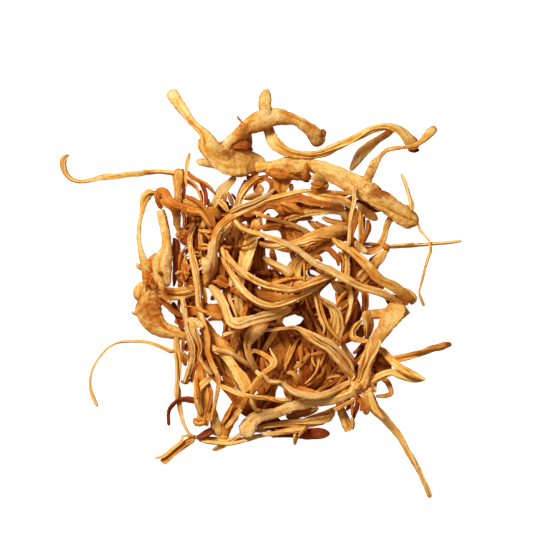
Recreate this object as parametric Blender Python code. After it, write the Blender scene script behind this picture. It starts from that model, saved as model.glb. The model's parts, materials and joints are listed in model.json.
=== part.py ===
"""Dried cordyceps: a springy clump of dried orange fungus bodies, grown together at their bases.

Every strand is one closed solid with its own name. Its plan (where it runs, and how wide it is) is drawn
by hand on a square grid, seen from above. Its height is worked out here: the strands are laid one after
the other, lowest first. Each one is stiff and naturally bowed, and rests on whatever already lies under it.
Lengths are in metres, +Z is up, and the clump lies on z = 0 with the middle of its box over the origin.
"""
import math
import random
from collections import namedtuple

import bpy
import numpy as np

# ---- Driving sizes -----------------------------------------------------------------------------------
GRID = 0.00025               # side of one square of the plan grid
GRID_MIDDLE = (260.6, 293.3)  # grid point over the origin; the grid's second number grows towards -Y
GAP = 0.0003                 # air kept between neighbouring strands

# ---- How a cross-section is made ----------------------------------------------------------------------
SIDES = 6                    # corners of a cross-section: flat above and below, widest at mid height
ROUNDNESS = 0.95             # thickness over width of the thinnest threads
ROUNDNESS_LOSS = 110.0       # how much flatter a strand gets for each metre of width
FLATTEST = 0.40              # thickness over width of the widest leaves
RING_PITCH = 0.0031          # longest distance between two cross-sections
RING_TURN = math.radians(30)  # largest change of direction between two cross-sections
DOME = 0.32                  # how far a rounded end reaches past its last section, over the width

# ---- How a strand bends -------------------------------------------------------------------------------
STEP = 0.0005                # distance between the points at which a strand is bent
STIFFNESS = 2.0e-6           # bending stiffness over weight of a thread 1 mm wide, m^3
CONTACT = 4000.0             # stiffness of a contact, over weight, 1/m
CURL = 10.0                  # strongest natural curl, 1/m
CURL_LENGTH = 0.026          # length of one wave of curl
CELL = 0.00025               # side of one cell of the height map
SEED = 11

COLOURS = {
    "pale": (0.80, 0.52, 0.22),
    "gold": (0.70, 0.39, 0.12),
    "amber": (0.56, 0.25, 0.055),
    "brown": (0.34, 0.13, 0.035),
    "russet": (0.20, 0.055, 0.02),
}
ROUGHNESS = 0.62

Strand = namedtuple("Strand", "name bow colour flat ends route joins middle rests", defaults=["", 0, False])

# ---- The strands, lowest first --------------------------------------------------------------------------
# route: (across, down, width) in grid squares. bow: how strongly the strand arches upwards by nature, 1/m.
# joins: which of its ends grows from which other strand. middle: height at which a knot is held by its stems.
STRANDS = [
    Strand("bed_leaf", bow=0, colour="brown", flat=0.8, ends="dome-dome", rests=True, route=[
        (262, 240, 8), (259, 251, 12), (259.5, 262, 15.5), (262, 273, 15.5), (266, 283, 12),
        (268, 296, 11), (270, 309, 13), (273, 322, 18), (277, 335, 25), (281, 347, 27), (286, 359, 24),
        (290, 370, 17), (294, 379, 9)
    ]),
    Strand("gall_club", bow=4, colour="gold", flat=1.15, ends="dome-dome", route=[
        (160, 272, 9), (156.5, 281, 14), (152, 291, 22), (149, 302, 24), (149, 312, 24),
        (153, 321, 22.5), (160, 328, 18), (169, 331.5, 14.5), (180, 334, 11), (190, 337, 9),
        (197, 339, 6)
    ]),
    Strand("hanging_loop", bow=4, colour="gold", flat=1.0, ends="dome-dome", joins="start:gall_club", route=[
        (176, 341, 6), (176.5, 348, 6.5), (178, 356, 6), (178, 364, 6.5), (177.5, 374, 6.5),
        (177, 384, 4.7), (179, 392, 5), (178.5, 400, 5.5), (180, 411, 5), (182, 420, 4),
        (186.5, 430, 3.4), (192, 436, 4), (203, 438.5, 5), (216, 440.5, 5.5), (231, 441, 5.5),
        (245, 439.5, 5), (258, 436.5, 4), (270, 434.2, 4.5), (285, 431.8, 5.5), (298, 429.5, 6.5),
        (306, 425.5, 5)
    ]),
    Strand("thin_arc_left", bow=6, colour="gold", flat=1.0, ends="dome-dome", joins="finish:hanging_loop", route=[
        (96.4, 406, 3.5), (92, 396, 4.5), (89.3, 382, 3.5), (92, 369, 3), (98, 358.6, 3), (109, 347, 3),
        (121, 342, 3), (133, 341, 3), (148, 342.5, 3.3), (160, 346.5, 3.6), (168, 350, 4), (174, 354, 4)
    ]),
    Strand("forked_stub_low", bow=8, colour="amber", flat=1.0, ends="cut-dome", joins="finish:hanging_loop", route=[
        (162.5, 463.5, 6.4), (168, 457.5, 8.6), (175, 450.5, 9.2), (182, 445.5, 8.4), (190, 441.5, 6.4),
        (198, 439, 4)
    ]),
    Strand("dark_curl", bow=8, colour="russet", flat=1.0, ends="dome-dome", route=[
        (168.5, 425, 3.4), (167.8, 418, 4), (168.5, 411, 4.5), (172, 405.5, 4.8), (177, 401.5, 4.5),
        (184, 399.5, 5.5), (192, 400, 6), (200, 402, 5.4), (208, 404, 4)
    ]),
    Strand("lower_left_leaf", bow=10, colour="amber", flat=0.8, ends="dome-cut", route=[
        (193, 333, 4.6), (196, 346, 5), (199, 358, 6), (200.5, 370, 9), (201, 380, 13), (203, 391, 18),
        (204, 401, 17.6), (204, 411, 13.4), (203, 419, 12), (201.5, 425, 12)
    ]),
    Strand("dark_red_club", bow=6, colour="russet", flat=1.0, ends="dome-dome", route=[
        (272, 436.6, 3), (284, 436, 4), (294, 435, 6.6), (302, 434.5, 9.6), (311, 434.5, 11),
        (319, 434.3, 11), (325, 434, 8.6), (328.5, 434, 5)
    ]),
    Strand("cut_stem", bow=10, colour="gold", flat=1.0, ends="dome-cut", route=[
        (330, 381, 4.6), (334.5, 391, 5.4), (338, 400, 6.4), (340.5, 408, 7.2), (343, 415, 8.4),
        (345.5, 422, 9.4), (348, 428, 9.8), (349.3, 431, 9.4)
    ]),
    Strand("trunk", bow=52, colour="gold", flat=0.9, ends="dome-dome", route=[
        (309, 248, 8), (302.5, 256, 11), (297.5, 263, 14.5), (294.5, 270, 17.5), (293, 278, 17.8),
        (291, 286, 14.5), (288.5, 294, 10), (285, 303, 8), (283, 313, 6.4), (279, 324, 6),
        (273, 336, 6), (266, 347, 5.4), (262, 358, 5)
    ]),
    Strand("vertical_mid", bow=42, colour="gold", flat=1.0, ends="dome-dome", route=[
        (344, 246, 5), (346.5, 256, 5.6), (347.5, 266, 5.4), (348.6, 277, 5.8), (350, 288, 6.2),
        (350.6, 299, 5.8), (349.5, 311, 5), (347, 321, 4.6), (344, 331, 4.6), (343, 342, 4.8),
        (347, 351, 5.6), (353, 359, 6), (358, 367, 5.2)
    ]),
    Strand("base_knot", bow=0, colour="pale", flat=1.25, ends="dome-dome", middle=0.0045, route=[
        (352.5, 383, 6.5), (356, 386.5, 10.5), (359.5, 389.5, 10.5), (363, 392, 6.5)
    ]),
    Strand("long_tail_low_right", bow=12, colour="gold", flat=1.0, ends="dome-dome", joins="start:base_knot", route=[
        (364, 388, 9), (368.3, 395, 13.6), (372.8, 403, 12.4), (378, 410, 9.8), (383.6, 416.2, 8.4),
        (389.2, 422.2, 7.2), (394.2, 427.9, 6.6), (399, 434, 6.2), (403, 441.8, 5.8), (407.5, 450.8, 6),
        (412.6, 459.8, 6.2), (417.7, 468.8, 6.2), (421.8, 477.8, 6.2), (425.8, 486.8, 6.4),
        (429.6, 496.3, 6)
    ]),
    Strand("arm_under_body", bow=10, colour="gold", flat=1.0, ends="dome-dome", route=[
        (399, 211, 7), (394, 216, 7), (388.5, 223, 6), (385, 231, 5.6), (383, 239, 7),
        (379.5, 246.5, 8.6), (372, 251, 7.4), (364, 249.5, 7), (357, 244, 6), (353, 238, 4)
    ]),
    Strand("thin_horizontal", bow=5, colour="gold", flat=1.0, ends="dome-dome", joins="start:arm_under_body", route=[
        (386, 245.5, 4.5), (393, 247, 4), (405, 246, 4), (420, 244.5, 4.5), (432, 243.5, 4),
        (445, 242.5, 3.5), (461, 240.5, 3)
    ]),
    Strand("spear_leaf", bow=16, colour="gold", flat=0.8, ends="dome-dome", route=[
        (351.2, 169, 5), (354.6, 163.5, 8), (358.6, 157.5, 9.8), (363.6, 151.5, 10.6), (369, 146.5, 10),
        (375, 142, 8.6), (381, 138.2, 7.6), (387, 134, 7), (392, 130.5, 5.5)
    ]),
    Strand("outer_left_arc", bow=20, colour="gold", flat=1.0, ends="dome-dome", joins="finish:gall_club", route=[
        (153.5, 192.5, 5), (149, 193.5, 9), (144.5, 198.5, 9), (142.3, 206, 6), (141, 213, 4.6),
        (139.6, 221, 4), (138.6, 230, 4.6), (138.8, 239, 5.2), (140.3, 248, 5.6), (142.5, 257, 7.2),
        (145.5, 266, 9), (147.5, 275, 10), (149, 283, 11)
    ]),
    Strand("folded_band", bow=28, colour="gold", flat=1.0, ends="dome-dome", route=[
        (178.5, 170.5, 8.5), (177.5, 177, 9.4), (178, 185, 7.4), (178, 193, 6.4), (177.5, 201, 8),
        (177.3, 208, 7.6), (176.8, 215, 5.8), (176.4, 221, 5.2), (178, 227, 5.2), (182, 231, 5.4),
        (187.5, 233, 6)
    ]),
    Strand("hook_left", bow=10, colour="gold", flat=1.0, ends="dome-dome", joins="finish:folded_band", route=[
        (68, 155, 2.5), (64.3, 157, 6), (62.5, 163, 6.5), (64.3, 171, 5.2), (70, 178, 4.6),
        (80, 181.3, 4), (92, 180, 4.6), (103, 177, 6.3), (120, 175.3, 6), (135, 173, 5.6),
        (152, 171.5, 4.2), (165, 172.3, 4), (174, 173.5, 5)
    ]),
    Strand("orange_strand_ul", bow=40, colour="amber", flat=1.0, ends="dome-dome", route=[
        (184, 201, 5), (193, 203, 6), (201, 207, 6.4), (207.5, 213, 6.2), (212.5, 221, 6),
        (216, 230, 6), (219, 241, 5.6), (221, 254, 5.4), (222, 266, 6), (220.5, 278, 6.4),
        (217, 289, 6), (212, 299, 5)
    ]),
    Strand("pale_leaf_ul", bow=40, colour="pale", flat=0.8, ends="dome-dome", route=[
        (234, 177.5, 6), (228.5, 183, 8.6), (222.5, 188.5, 10.6), (218, 195, 10), (215.5, 202, 9),
        (212, 209, 7), (207.5, 216, 6), (203, 225, 5), (200.5, 236, 5), (202, 248, 5.4),
        (204.5, 260, 5.6), (206, 271, 5)
    ]),
    Strand("knob_left", bow=32, colour="amber", flat=1.0, ends="dome-dome", route=[
        (160.5, 207.5, 5), (157.8, 200, 7.4), (158.6, 193, 8.6), (163, 191.5, 8.6), (168.5, 199, 9),
        (175, 204.5, 9), (186, 208.5, 6.4), (196, 210.5, 6.2), (203, 215, 5.6), (208.5, 223, 5.2),
        (211.5, 232, 5), (212.5, 243, 4.6)
    ]),
    Strand("lower_band", bow=32, colour="amber", flat=0.8, ends="dome-dome", route=[
        (176, 322, 6), (184, 316, 8), (193, 312, 8.4), (202, 310.5, 10.4), (213, 310, 12.2),
        (223, 311.5, 12.2), (233, 314, 7)
    ]),
    Strand("broad_leaf", bow=54, colour="gold", flat=0.8, ends="dome-dome", route=[
        (255, 219, 7.5), (256, 226, 10.5), (253.5, 235, 12.4), (250, 245, 13.6), (246.8, 255, 14.6),
        (244.7, 263.5, 13.6), (243.4, 271.5, 10), (241, 281, 9.4), (238.3, 291, 9.2), (238.5, 300, 8.6),
        (239, 309, 8), (239, 318, 6.6), (236.5, 330, 7.4), (234, 342, 7.4), (232.5, 353, 5.8),
        (229, 364, 5)
    ]),
    Strand("bean_leaf", bow=32, colour="gold", flat=0.8, ends="dome-dome", route=[
        (300, 281, 4), (307, 288, 4.4), (313, 294.5, 4.8), (320, 299, 5), (328, 303, 6.4),
        (334, 309, 9.4), (337, 317, 12.6), (336, 326, 16), (334.5, 335, 17.6), (333, 344, 15)
    ]),
    Strand("brown_brace", bow=24, colour="brown", flat=1.0, ends="dome-dome", route=[
        (204, 362, 4.4), (211, 372, 5.4), (218.5, 381, 6), (225, 387, 6.6), (231, 393, 7.6),
        (238, 401, 10.4), (245, 408.5, 11.8), (250, 414, 9)
    ]),
    Strand("orange_diag", bow=10, colour="amber", flat=0.8, ends="dome-dome", joins="finish:hanging_loop", route=[
        (252, 388, 5), (248, 395, 8), (240.5, 405, 13), (234, 413, 14), (228, 423, 13.4),
        (224, 432, 11), (222.5, 437, 9)
    ]),
    Strand("bottom_brace", bow=8, colour="gold", flat=1.0, ends="dome-dome", route=[
        (258, 428.5, 4), (268, 426.5, 5), (280, 424.5, 6), (293, 424, 7.6), (304, 422.5, 9),
        (314, 420.5, 9.8), (323, 418, 10), (329.5, 415.5, 9), (333, 412.5, 6)
    ]),
    Strand("bottom_log", bow=12, colour="pale", flat=1.0, ends="cut-dome", joins="finish:base_knot", route=[
        (246.5, 436, 14), (247, 429, 17.4), (251, 422.5, 16), (258, 418, 13.8), (266, 415.3, 12.2),
        (276, 413, 10.8), (285, 409, 11.8), (293, 406, 12.2), (303, 404, 11), (313, 402.5, 9.4),
        (325, 401, 9), (335, 399, 9.6), (344, 396, 10), (353, 392, 7)
    ]),
    Strand("broad_body", bow=26, colour="gold", flat=0.85, ends="dome-dome", route=[
        (266, 168, 9), (276, 166, 13), (288, 165.5, 18), (300, 165.5, 17), (311, 165, 13.5),
        (322, 168.5, 16.5), (334, 173.5, 18), (346, 179, 19.5), (358, 185.5, 21), (370, 193, 21.5),
        (381, 201, 18.5), (391, 207, 19), (401, 213.5, 22), (409, 218.5, 20), (415, 221.5, 13)
    ]),
    Strand("tail_right", bow=8, colour="gold", flat=1.0, ends="dome-dome", joins="start:broad_body", route=[
        (417, 227, 4), (423, 234, 3.2), (429, 240, 3.2), (431, 247, 3.6), (430, 254, 4), (427, 262, 4),
        (425, 269, 4), (423, 278, 3.6), (421, 286, 3.6), (420, 293, 3.2), (422, 300, 4), (424, 305, 3.6)
    ]),
    Strand("thick_left_arm", bow=28, colour="pale", flat=1.0, ends="cut-dome", route=[
        (160, 210.5, 8.5), (162.5, 220, 9.6), (165, 230, 10.2), (166.5, 240, 10.4), (166, 249, 12.6),
        (163.5, 256.5, 18), (162, 265, 20.5), (163.5, 274, 17.5), (167, 284, 9)
    ]),
    Strand("stem_to_plate", bow=36, colour="gold", flat=1.0, ends="dome-dome", route=[
        (258, 177, 5.4), (250, 183, 6.6), (243.5, 191, 7.6), (239, 200, 6.6), (236.5, 209, 5.6),
        (233, 218, 5.6), (227, 230, 5.8), (221.5, 240, 5.4), (218, 248, 4)
    ]),
    Strand("band_left", bow=24, colour="gold", flat=1.0, ends="dome-dome", route=[
        (160, 294, 9), (168, 293.5, 13), (178, 293, 12.5), (188, 291, 11.5), (195, 289, 9.6),
        (203, 286, 7)
    ]),
    Strand("ribbed_club", bow=52, colour="gold", flat=1.0, ends="dome-dome", route=[
        (347, 229.5, 11.5), (338, 230.5, 13), (329, 232.5, 13.4), (320, 234.5, 12.4), (311, 238, 11.2),
        (303, 241.5, 9.4), (295, 243, 7), (287, 244, 5.8), (278, 246, 5.4), (268, 246, 5),
        (260, 243, 4.4)
    ]),
    Strand("long_bow", bow=46, colour="gold", flat=0.9, ends="dome-dome", route=[
        (352, 193, 4), (340, 193, 4), (325, 192, 4), (312, 190.3, 4), (300, 192, 5), (285, 195.5, 5.4),
        (270, 199.5, 5.6), (256, 205.5, 6.4), (243, 211, 7), (232, 216.5, 8), (224, 222.5, 7.6),
        (217.5, 230, 8.4), (214, 240, 9), (213, 250, 9.4), (212.5, 260, 9.6), (211, 270, 10.4),
        (208.5, 278, 10.4), (204.5, 285.5, 7)
    ]),
    Strand("stem_a", bow=46, colour="pale", flat=1.0, ends="dome-dome", route=[
        (195, 222, 4.4), (191, 232, 5.4), (189.3, 242, 5.4), (191, 252, 5.6), (193.5, 262, 6),
        (195.5, 272, 6.6), (197, 285, 7.2), (198, 297, 6.8), (199, 308, 7), (201, 318, 8), (204, 328, 6)
    ]),
    Strand("fan_leaf", bow=28, colour="gold", flat=0.7, ends="dome-cut", route=[
        (201, 329, 4.6), (206, 337, 4.8), (211, 346, 5.4), (218, 351.5, 6), (225, 356, 7),
        (231, 362, 7.6), (236.5, 370, 8.6), (241.5, 379, 12), (245.5, 387, 12.4), (247.5, 391.5, 11.5)
    ]),
    Strand("bundle_c", bow=34, colour="gold", flat=1.0, ends="dome-dome", route=[
        (199.5, 309, 6), (203.5, 320, 5.6), (206.5, 331, 5.4), (208.5, 341, 5), (207.5, 350, 5),
        (209.5, 358, 5), (213, 365.5, 5.4), (217, 373, 5.4), (219, 381, 4.6), (217.8, 390, 4),
        (216, 400, 3.8), (214, 409, 4.2), (212.4, 416, 3.8), (211.4, 421, 3)
    ]),
    Strand("pale_stem", bow=32, colour="pale", flat=1.0, ends="dome-cut", route=[
        (182, 299, 4), (184, 311, 5), (185, 321, 5.2), (187, 331, 5.8), (190, 341, 6.6),
        (192.5, 350, 6.8), (192, 358, 6.2), (190, 366, 6.8), (187.3, 375, 6.2), (184.8, 382.5, 5.8)
    ]),
    Strand("folded_leaf", bow=60, colour="pale", flat=0.7, ends="dome-dome", route=[
        (275, 304, 6), (268.5, 313, 10), (262.5, 321.5, 15), (256.8, 329, 15.6), (251.2, 336.5, 12),
        (248, 343.5, 8.8), (248, 350.5, 6.8), (249.7, 357, 6.8), (252.5, 364, 7.6), (255.5, 371, 8),
        (257, 376.5, 5.8)
    ]),
    Strand("fork_strand", bow=24, colour="gold", flat=1.0, ends="dome-dome", joins="start:folded_leaf", route=[
        (252, 350, 3.6), (259, 352.6, 4.4), (266, 356.6, 5.4), (272, 361.6, 6.6), (271.5, 367.5, 6),
        (265, 372, 5.4), (259.5, 379, 6.6), (254.5, 386, 6.4), (252.5, 394, 4.6)
    ]),
    Strand("lower_arc", bow=34, colour="pale", flat=1.0, ends="dome-dome", joins="finish:base_knot", route=[
        (257, 371, 4), (263, 377, 5), (270.5, 381.4, 5.2), (279, 382.5, 5.2), (286.5, 388, 6),
        (294, 392.5, 7), (303, 395, 7.4), (314, 396.3, 7), (325, 394.8, 6.6), (334, 391, 6.2),
        (342, 386.5, 5.6), (348, 382, 4.8), (351, 380, 4)
    ]),
    Strand("strand_diag_mid", bow=44, colour="pale", flat=1.0, ends="dome-dome", joins="finish:base_knot", route=[
        (262, 331, 3.4), (275, 329.4, 3.4), (284, 328, 3.4), (292, 327, 3.6), (299, 328.5, 4.4),
        (305, 332.5, 7.8), (312, 338, 10.6), (320, 342.5, 11.2), (328, 347, 11.6), (335, 353.5, 12.2),
        (342, 361.5, 12.6), (348, 370, 12), (353, 377, 9)
    ]),
    Strand("arm_right", bow=24, colour="gold", flat=0.9, ends="cut-dome", joins="finish:base_knot", route=[
        (406.5, 309, 13), (399, 314.5, 16.5), (392, 320.5, 17), (384.5, 329, 15.5), (378.5, 337, 14),
        (373.5, 346, 14.5), (370, 354, 14.5), (366.5, 363, 13.6), (364, 371, 13.4), (362.5, 377, 11)
    ]),
    Strand("spike_lower", bow=14, colour="gold", flat=1.0, ends="dome-dome", joins="start:base_knot", route=[
        (370, 383, 7), (377, 379, 8.6), (385, 374.7, 8), (393, 373, 8.4), (401, 376, 8.8),
        (410, 378.5, 7.6), (418, 380, 5.2), (424, 380, 2.6)
    ]),
    Strand("spike_upper", bow=14, colour="gold", flat=1.0, ends="dome-dome", joins="start:arm_right", route=[
        (381, 349, 6), (386.5, 355.5, 8), (393, 362, 8.6), (401, 367.5, 8.6), (409, 371.8, 7.4),
        (416, 375.5, 5.6), (424, 379.5, 3)
    ]),
    Strand("twig_right", bow=8, colour="amber", flat=1.0, ends="dome-dome", joins="start:spike_upper", route=[
        (391.5, 358, 5), (397, 358.8, 7.4), (404, 357.2, 8.4), (412, 355.5, 8.6), (420, 353, 8),
        (427, 350.3, 8.6), (434, 347.9, 8), (440, 346.6, 8.2), (446, 345, 8.4), (450.5, 344.2, 6)
    ]),
    Strand("sweeper", bow=60, colour="pale", flat=0.9, ends="dome-dome", route=[
        (210, 286, 5), (215, 291, 8), (219.5, 298, 9), (224.3, 306, 9), (227, 314, 9), (230.5, 321, 11),
        (238, 323.6, 11), (248, 321, 10.6), (258, 318.6, 10.6), (268, 316, 12.6), (277, 314, 13),
        (285, 310.5, 9.4), (290.5, 308.5, 5.4)
    ]),
    Strand("arc_lower", bow=56, colour="pale", flat=1.0, ends="dome-dome", route=[
        (222, 256, 3.6), (226, 264.5, 5.2), (231, 274, 6), (237, 283, 7), (243.5, 291.3, 7.4),
        (250.5, 298, 7.4), (259, 303, 7.2), (270, 306, 7), (281, 305, 7), (291, 301.3, 7),
        (301, 296.7, 6.8), (313, 289.5, 6.6), (325, 282, 5.6)
    ]),
    Strand("arc_upper", bow=62, colour="pale", flat=1.0, ends="dome-dome", route=[
        (222, 247, 4.4), (225, 254, 6.6), (230.5, 261.5, 7.4), (237.5, 268.5, 7.6), (246, 275.5, 8),
        (256, 281.5, 8), (268, 286.3, 7.6), (280, 289, 7.6), (292, 290, 6.6), (303, 287.3, 7),
        (313, 283.3, 8), (324, 278.8, 8.4), (332, 275.5, 7)
    ]),
    Strand("pair_strand", bow=20, colour="gold", flat=1.0, ends="dome-cut", route=[
        (386.5, 251, 5), (381.5, 257, 9.5), (376.5, 263, 10.5), (371.5, 269.5, 9.5), (366.5, 276, 9),
        (362, 282, 8)
    ]),
    Strand("golden_diagonal", bow=50, colour="gold", flat=0.9, ends="dome-cut", route=[
        (333, 238.5, 4), (340, 244.4, 7.6), (349, 250, 8.2), (358, 256.4, 8.4), (365, 262.4, 8.8),
        (371, 269.4, 9.4), (377, 276.2, 9.6), (383.5, 280.4, 9), (390, 284, 9), (396.5, 288.6, 10),
        (402.5, 293.6, 11.4), (410, 300.4, 11.6)
    ]),
    Strand("long_diagonal", bow=46, colour="pale", flat=1.0, ends="dome-dome", route=[
        (235, 221, 4.4), (241, 228, 6), (250.5, 232, 5.4), (262, 235.2, 5.4), (275, 240, 5.6),
        (287, 244.4, 6), (300, 252, 6), (310, 260.5, 6.2), (320, 266, 6.4), (331, 270.5, 7),
        (341, 276, 7.2), (351, 281.5, 7.2), (361, 286.5, 7.2), (371, 289.7, 7.2), (381, 293.5, 7.2),
        (391, 298.5, 7), (402, 304, 5)
    ]),
    Strand("s_strand", bow=30, colour="gold", flat=1.0, ends="dome-cut", route=[
        (266, 126.5, 10.5), (268, 132, 11.6), (270.8, 137, 11.8), (274.2, 141.6, 12),
        (279, 146.2, 11.6), (285, 150.2, 10.2), (291.5, 152.8, 9), (300, 154.4, 8.2), (314, 154.7, 7.8),
        (324, 152.6, 8.6), (331.5, 149, 8.6), (341, 144.3, 8.4), (350.3, 140.2, 8), (357.2, 136.7, 8),
        (364.3, 133.3, 7.8), (372, 129.7, 7.2), (380, 127.3, 7.2), (387.5, 126.4, 8), (394, 127.6, 10),
        (400, 129.7, 10.4), (405, 133, 11.4), (409, 137.4, 12.4), (412.6, 142, 13.2),
        (415.6, 147.5, 10.5)
    ]),
    Strand("club_plate", bow=44, colour="gold", flat=0.8, ends="dome-dome", joins="finish:broad_body", route=[
        (171.8, 92.2, 12.6), (176, 100, 11.4), (183.5, 110, 10.2), (190.8, 119.4, 8.4),
        (196, 125.5, 7.8), (201.5, 131, 9.6), (205.5, 137, 14), (208, 143, 19), (212, 150, 21.5),
        (218, 156, 23.5), (226, 160, 27.5), (235, 161.5, 29.5), (243, 161.5, 28.5), (249, 162.3, 25),
        (255.5, 164, 18), (262.5, 165.7, 11.5), (270, 165.7, 7.5)
    ]),
    Strand("arch", bow=26, colour="gold", flat=0.9, ends="dome-dome", joins="start:club_plate", route=[
        (219, 146.6, 6), (228, 142.5, 9), (236, 137, 11.5), (243, 131, 15), (250.5, 126, 18.2),
        (258, 122, 20.6), (266, 119, 22.4), (275, 117.3, 19.6), (284, 117.8, 15.6), (292.5, 119, 12.6),
        (299, 121.6, 12), (305.5, 126, 14), (311.5, 131, 15.6), (316, 136, 16.6), (318.6, 141.4, 15.6)
    ]),
    Strand("arch_horn", bow=4, colour="gold", flat=0.9, ends="dome-dome", middle=0.0058, joins="start:arch", route=[
        (265, 110, 13.2), (264.9, 103.5, 13), (264.8, 98, 12.8), (265.7, 93.6, 10.6), (266.7, 90.8, 7.6)
    ]),
    Strand("club_right", bow=20, colour="gold", flat=0.9, ends="dome-dome", joins="start:broad_body", route=[
        (367, 182, 9.5), (369.3, 176, 9.8), (372, 169.5, 10.2), (374.6, 164, 9.6), (378.4, 158.6, 6),
        (382, 154, 4.6), (386, 150.6, 4.8), (391, 148.8, 4.8), (397, 147.9, 4.2), (404, 147.4, 3.9),
        (411, 146.2, 4), (418, 143.4, 4.8), (423.5, 139.4, 6.2), (427.5, 135, 8), (431.5, 131, 8.6),
        (434.6, 128, 7.4)
    ]),
    Strand("thin_upright_right", bow=28, colour="pale", flat=1.0, ends="dome-dome", route=[
        (354, 186, 3), (353.6, 193, 5), (354, 200, 5.6), (353, 208, 5), (351.3, 216, 4.8),
        (350.3, 225, 4.2), (349.6, 234, 3.6), (349, 245, 3.4)
    ]),
]


# ---- Plan -------------------------------------------------------------------------------------------------
def smooth_route(strand):
    """A Catmull-Rom curve through the strand's points: x, y and width in metres at every STEP."""
    points = np.array(strand.route, dtype=float)
    points[:, 0] = (points[:, 0] - GRID_MIDDLE[0]) * GRID
    points[:, 1] = (GRID_MIDDLE[1] - points[:, 1]) * GRID
    points[:, 2] *= GRID
    padded = np.vstack([2 * points[0] - points[1], points, 2 * points[-1] - points[-2]])
    fine = []
    for index in range(1, len(padded) - 2):
        before, start, end, after = padded[index - 1:index + 3]
        for part in range(24):
            t = part / 24.0
            fine.append(0.5 * (2 * start + (end - before) * t
                               + (2 * before - 5 * start + 4 * end - after) * t ** 2
                               + (3 * start - before - 3 * end + after) * t ** 3))
    fine.append(points[-1])
    fine = np.array(fine)
    length = np.concatenate([[0], np.cumsum(np.hypot(*np.diff(fine[:, :2], axis=0).T))])
    count = max(6, int(round(length[-1] / STEP)) + 1)
    even = np.linspace(0, length[-1], count)
    return np.column_stack([np.interp(even, length, fine[:, k]) for k in range(3)])


def thickness_of(width, flat):
    """Thin threads are nearly round, wide leaves are flat."""
    ratio = np.clip(ROUNDNESS - ROUNDNESS_LOSS * width, FLATTEST, 1.0)
    return width * ratio * flat


def plan_sides(line):
    """Unit vectors along and across the strand, in plan."""
    along = np.gradient(line[:, :2], axis=0)
    along /= np.linalg.norm(along, axis=1)[:, None]
    across = np.column_stack([-along[:, 1], along[:, 0]])
    return along, across


# ---- Height map ---------------------------------------------------------------------------------------------
class HeightMap:
    """The top of everything that has been laid so far, cell by cell."""

    def __init__(self, reach=0.062):
        self.reach = reach
        self.size = int(2 * reach / CELL)
        self.top = np.zeros((self.size, self.size))
        self.wide = self.top.copy()

    def cells(self, xy):
        index = np.floor((xy + self.reach) / CELL).astype(int)
        return np.clip(index, 0, self.size - 1)

    def read(self, xy):
        """Highest top in the cell of each point and in the cells around it."""
        index = self.cells(xy)
        return self.wide[index[..., 0], index[..., 1]]

    def lay(self, points):
        """Raise the map to the given surface points."""
        index = self.cells(points[:, :2])
        np.maximum.at(self.top, (index[:, 0], index[:, 1]), points[:, 2])
        padded = np.pad(self.top, 1)
        shifts = [padded[i:i + self.size, j:j + self.size] for i in range(3) for j in range(3)]
        self.wide = np.max(shifts, axis=0)


# ---- Bending ----------------------------------------------------------------------------------------------
def support_under(line, thickness, heights):
    """Lowest height the middle of the strand may have at each point."""
    _, across = plan_sides(line)
    lowest = np.zeros(len(line))
    for side in np.linspace(-1, 1, 9):
        xy = line[:, :2] + across * (side * line[:, 2] / 2)[:, None]
        depth = thickness / 2 * math.sin(math.pi / 3) * min(1.0, 2 * (1 - abs(side)))
        under = heights.read(xy)
        under = np.where(under > 0, under + GAP, 0)
        lowest = np.maximum(lowest, under + depth)
    return lowest


def natural_curl(count, bow, rng):
    """The strand's bow, with a slow wave of curl along it from a seeded random phase."""
    phase = rng.uniform(0, 2 * math.pi)
    strength = rng.uniform(0.3, 1.0) * CURL
    wave = 2 * math.pi * STEP / (CURL_LENGTH * rng.uniform(0.8, 1.4))
    return strength * np.sin(phase + wave * np.arange(count)) - bow


def bend_over(lowest, width, curl, held):
    """Heights of a springy, heavy strip that lies on the given lowest heights.

    held maps the index of a point to the height at which the strand is grown on there.
    """
    count = len(lowest)
    stiffness = STIFFNESS * (1 + (np.mean(width) / 0.001) ** 2)
    second = np.zeros((count - 2, count))
    rows = np.arange(count - 2)
    second[rows, rows] = 1
    second[rows, rows + 1] = -2
    second[rows, rows + 2] = 1
    second /= STEP ** 2
    bending = stiffness * STEP * second.T @ second
    pull = stiffness * STEP * second.T @ curl[1:-1] - STEP
    grip = np.zeros(count)
    aim = np.zeros(count)
    for index, height in held.items():
        grip[index] = CONTACT
        aim[index] = height
    touching = np.ones(count, dtype=bool)
    heights = lowest.copy()
    for _ in range(120):
        system = bending + np.diag(CONTACT * touching + grip)
        target = pull + CONTACT * touching * lowest + grip * aim
        heights = np.linalg.solve(system + np.eye(count) * 1e-9, target)
        now = heights < lowest
        needed = max(0, 2 - len(held))
        if now.sum() < needed:
            now[np.argsort(heights - lowest)[:needed]] = True
        if (now == touching).all():
            break
        touching = now
    return heights + max(0.0, np.max(lowest - heights))


# ---- Solids -------------------------------------------------------------------------------------------------
def choose_sections(line):
    """Indices of the points that get a cross-section: closer together where the strand turns."""
    along = np.diff(line[:, :3], axis=0)
    lengths = np.linalg.norm(along, axis=1)
    directions = along / lengths[:, None]
    turns = np.arccos(np.clip(np.sum(directions[1:] * directions[:-1], axis=1), -1, 1))
    turns = np.concatenate([[0], turns, [0]])
    travelled = np.concatenate([[0], np.cumsum(lengths / RING_PITCH)])
    progress = travelled + np.cumsum(turns / RING_TURN) * 0.75
    total = max(2, int(math.ceil(progress[-1])))
    wanted = np.linspace(0, progress[-1], total + 1)
    return np.unique([int(np.argmin(np.abs(progress - value))) for value in wanted])


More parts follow.
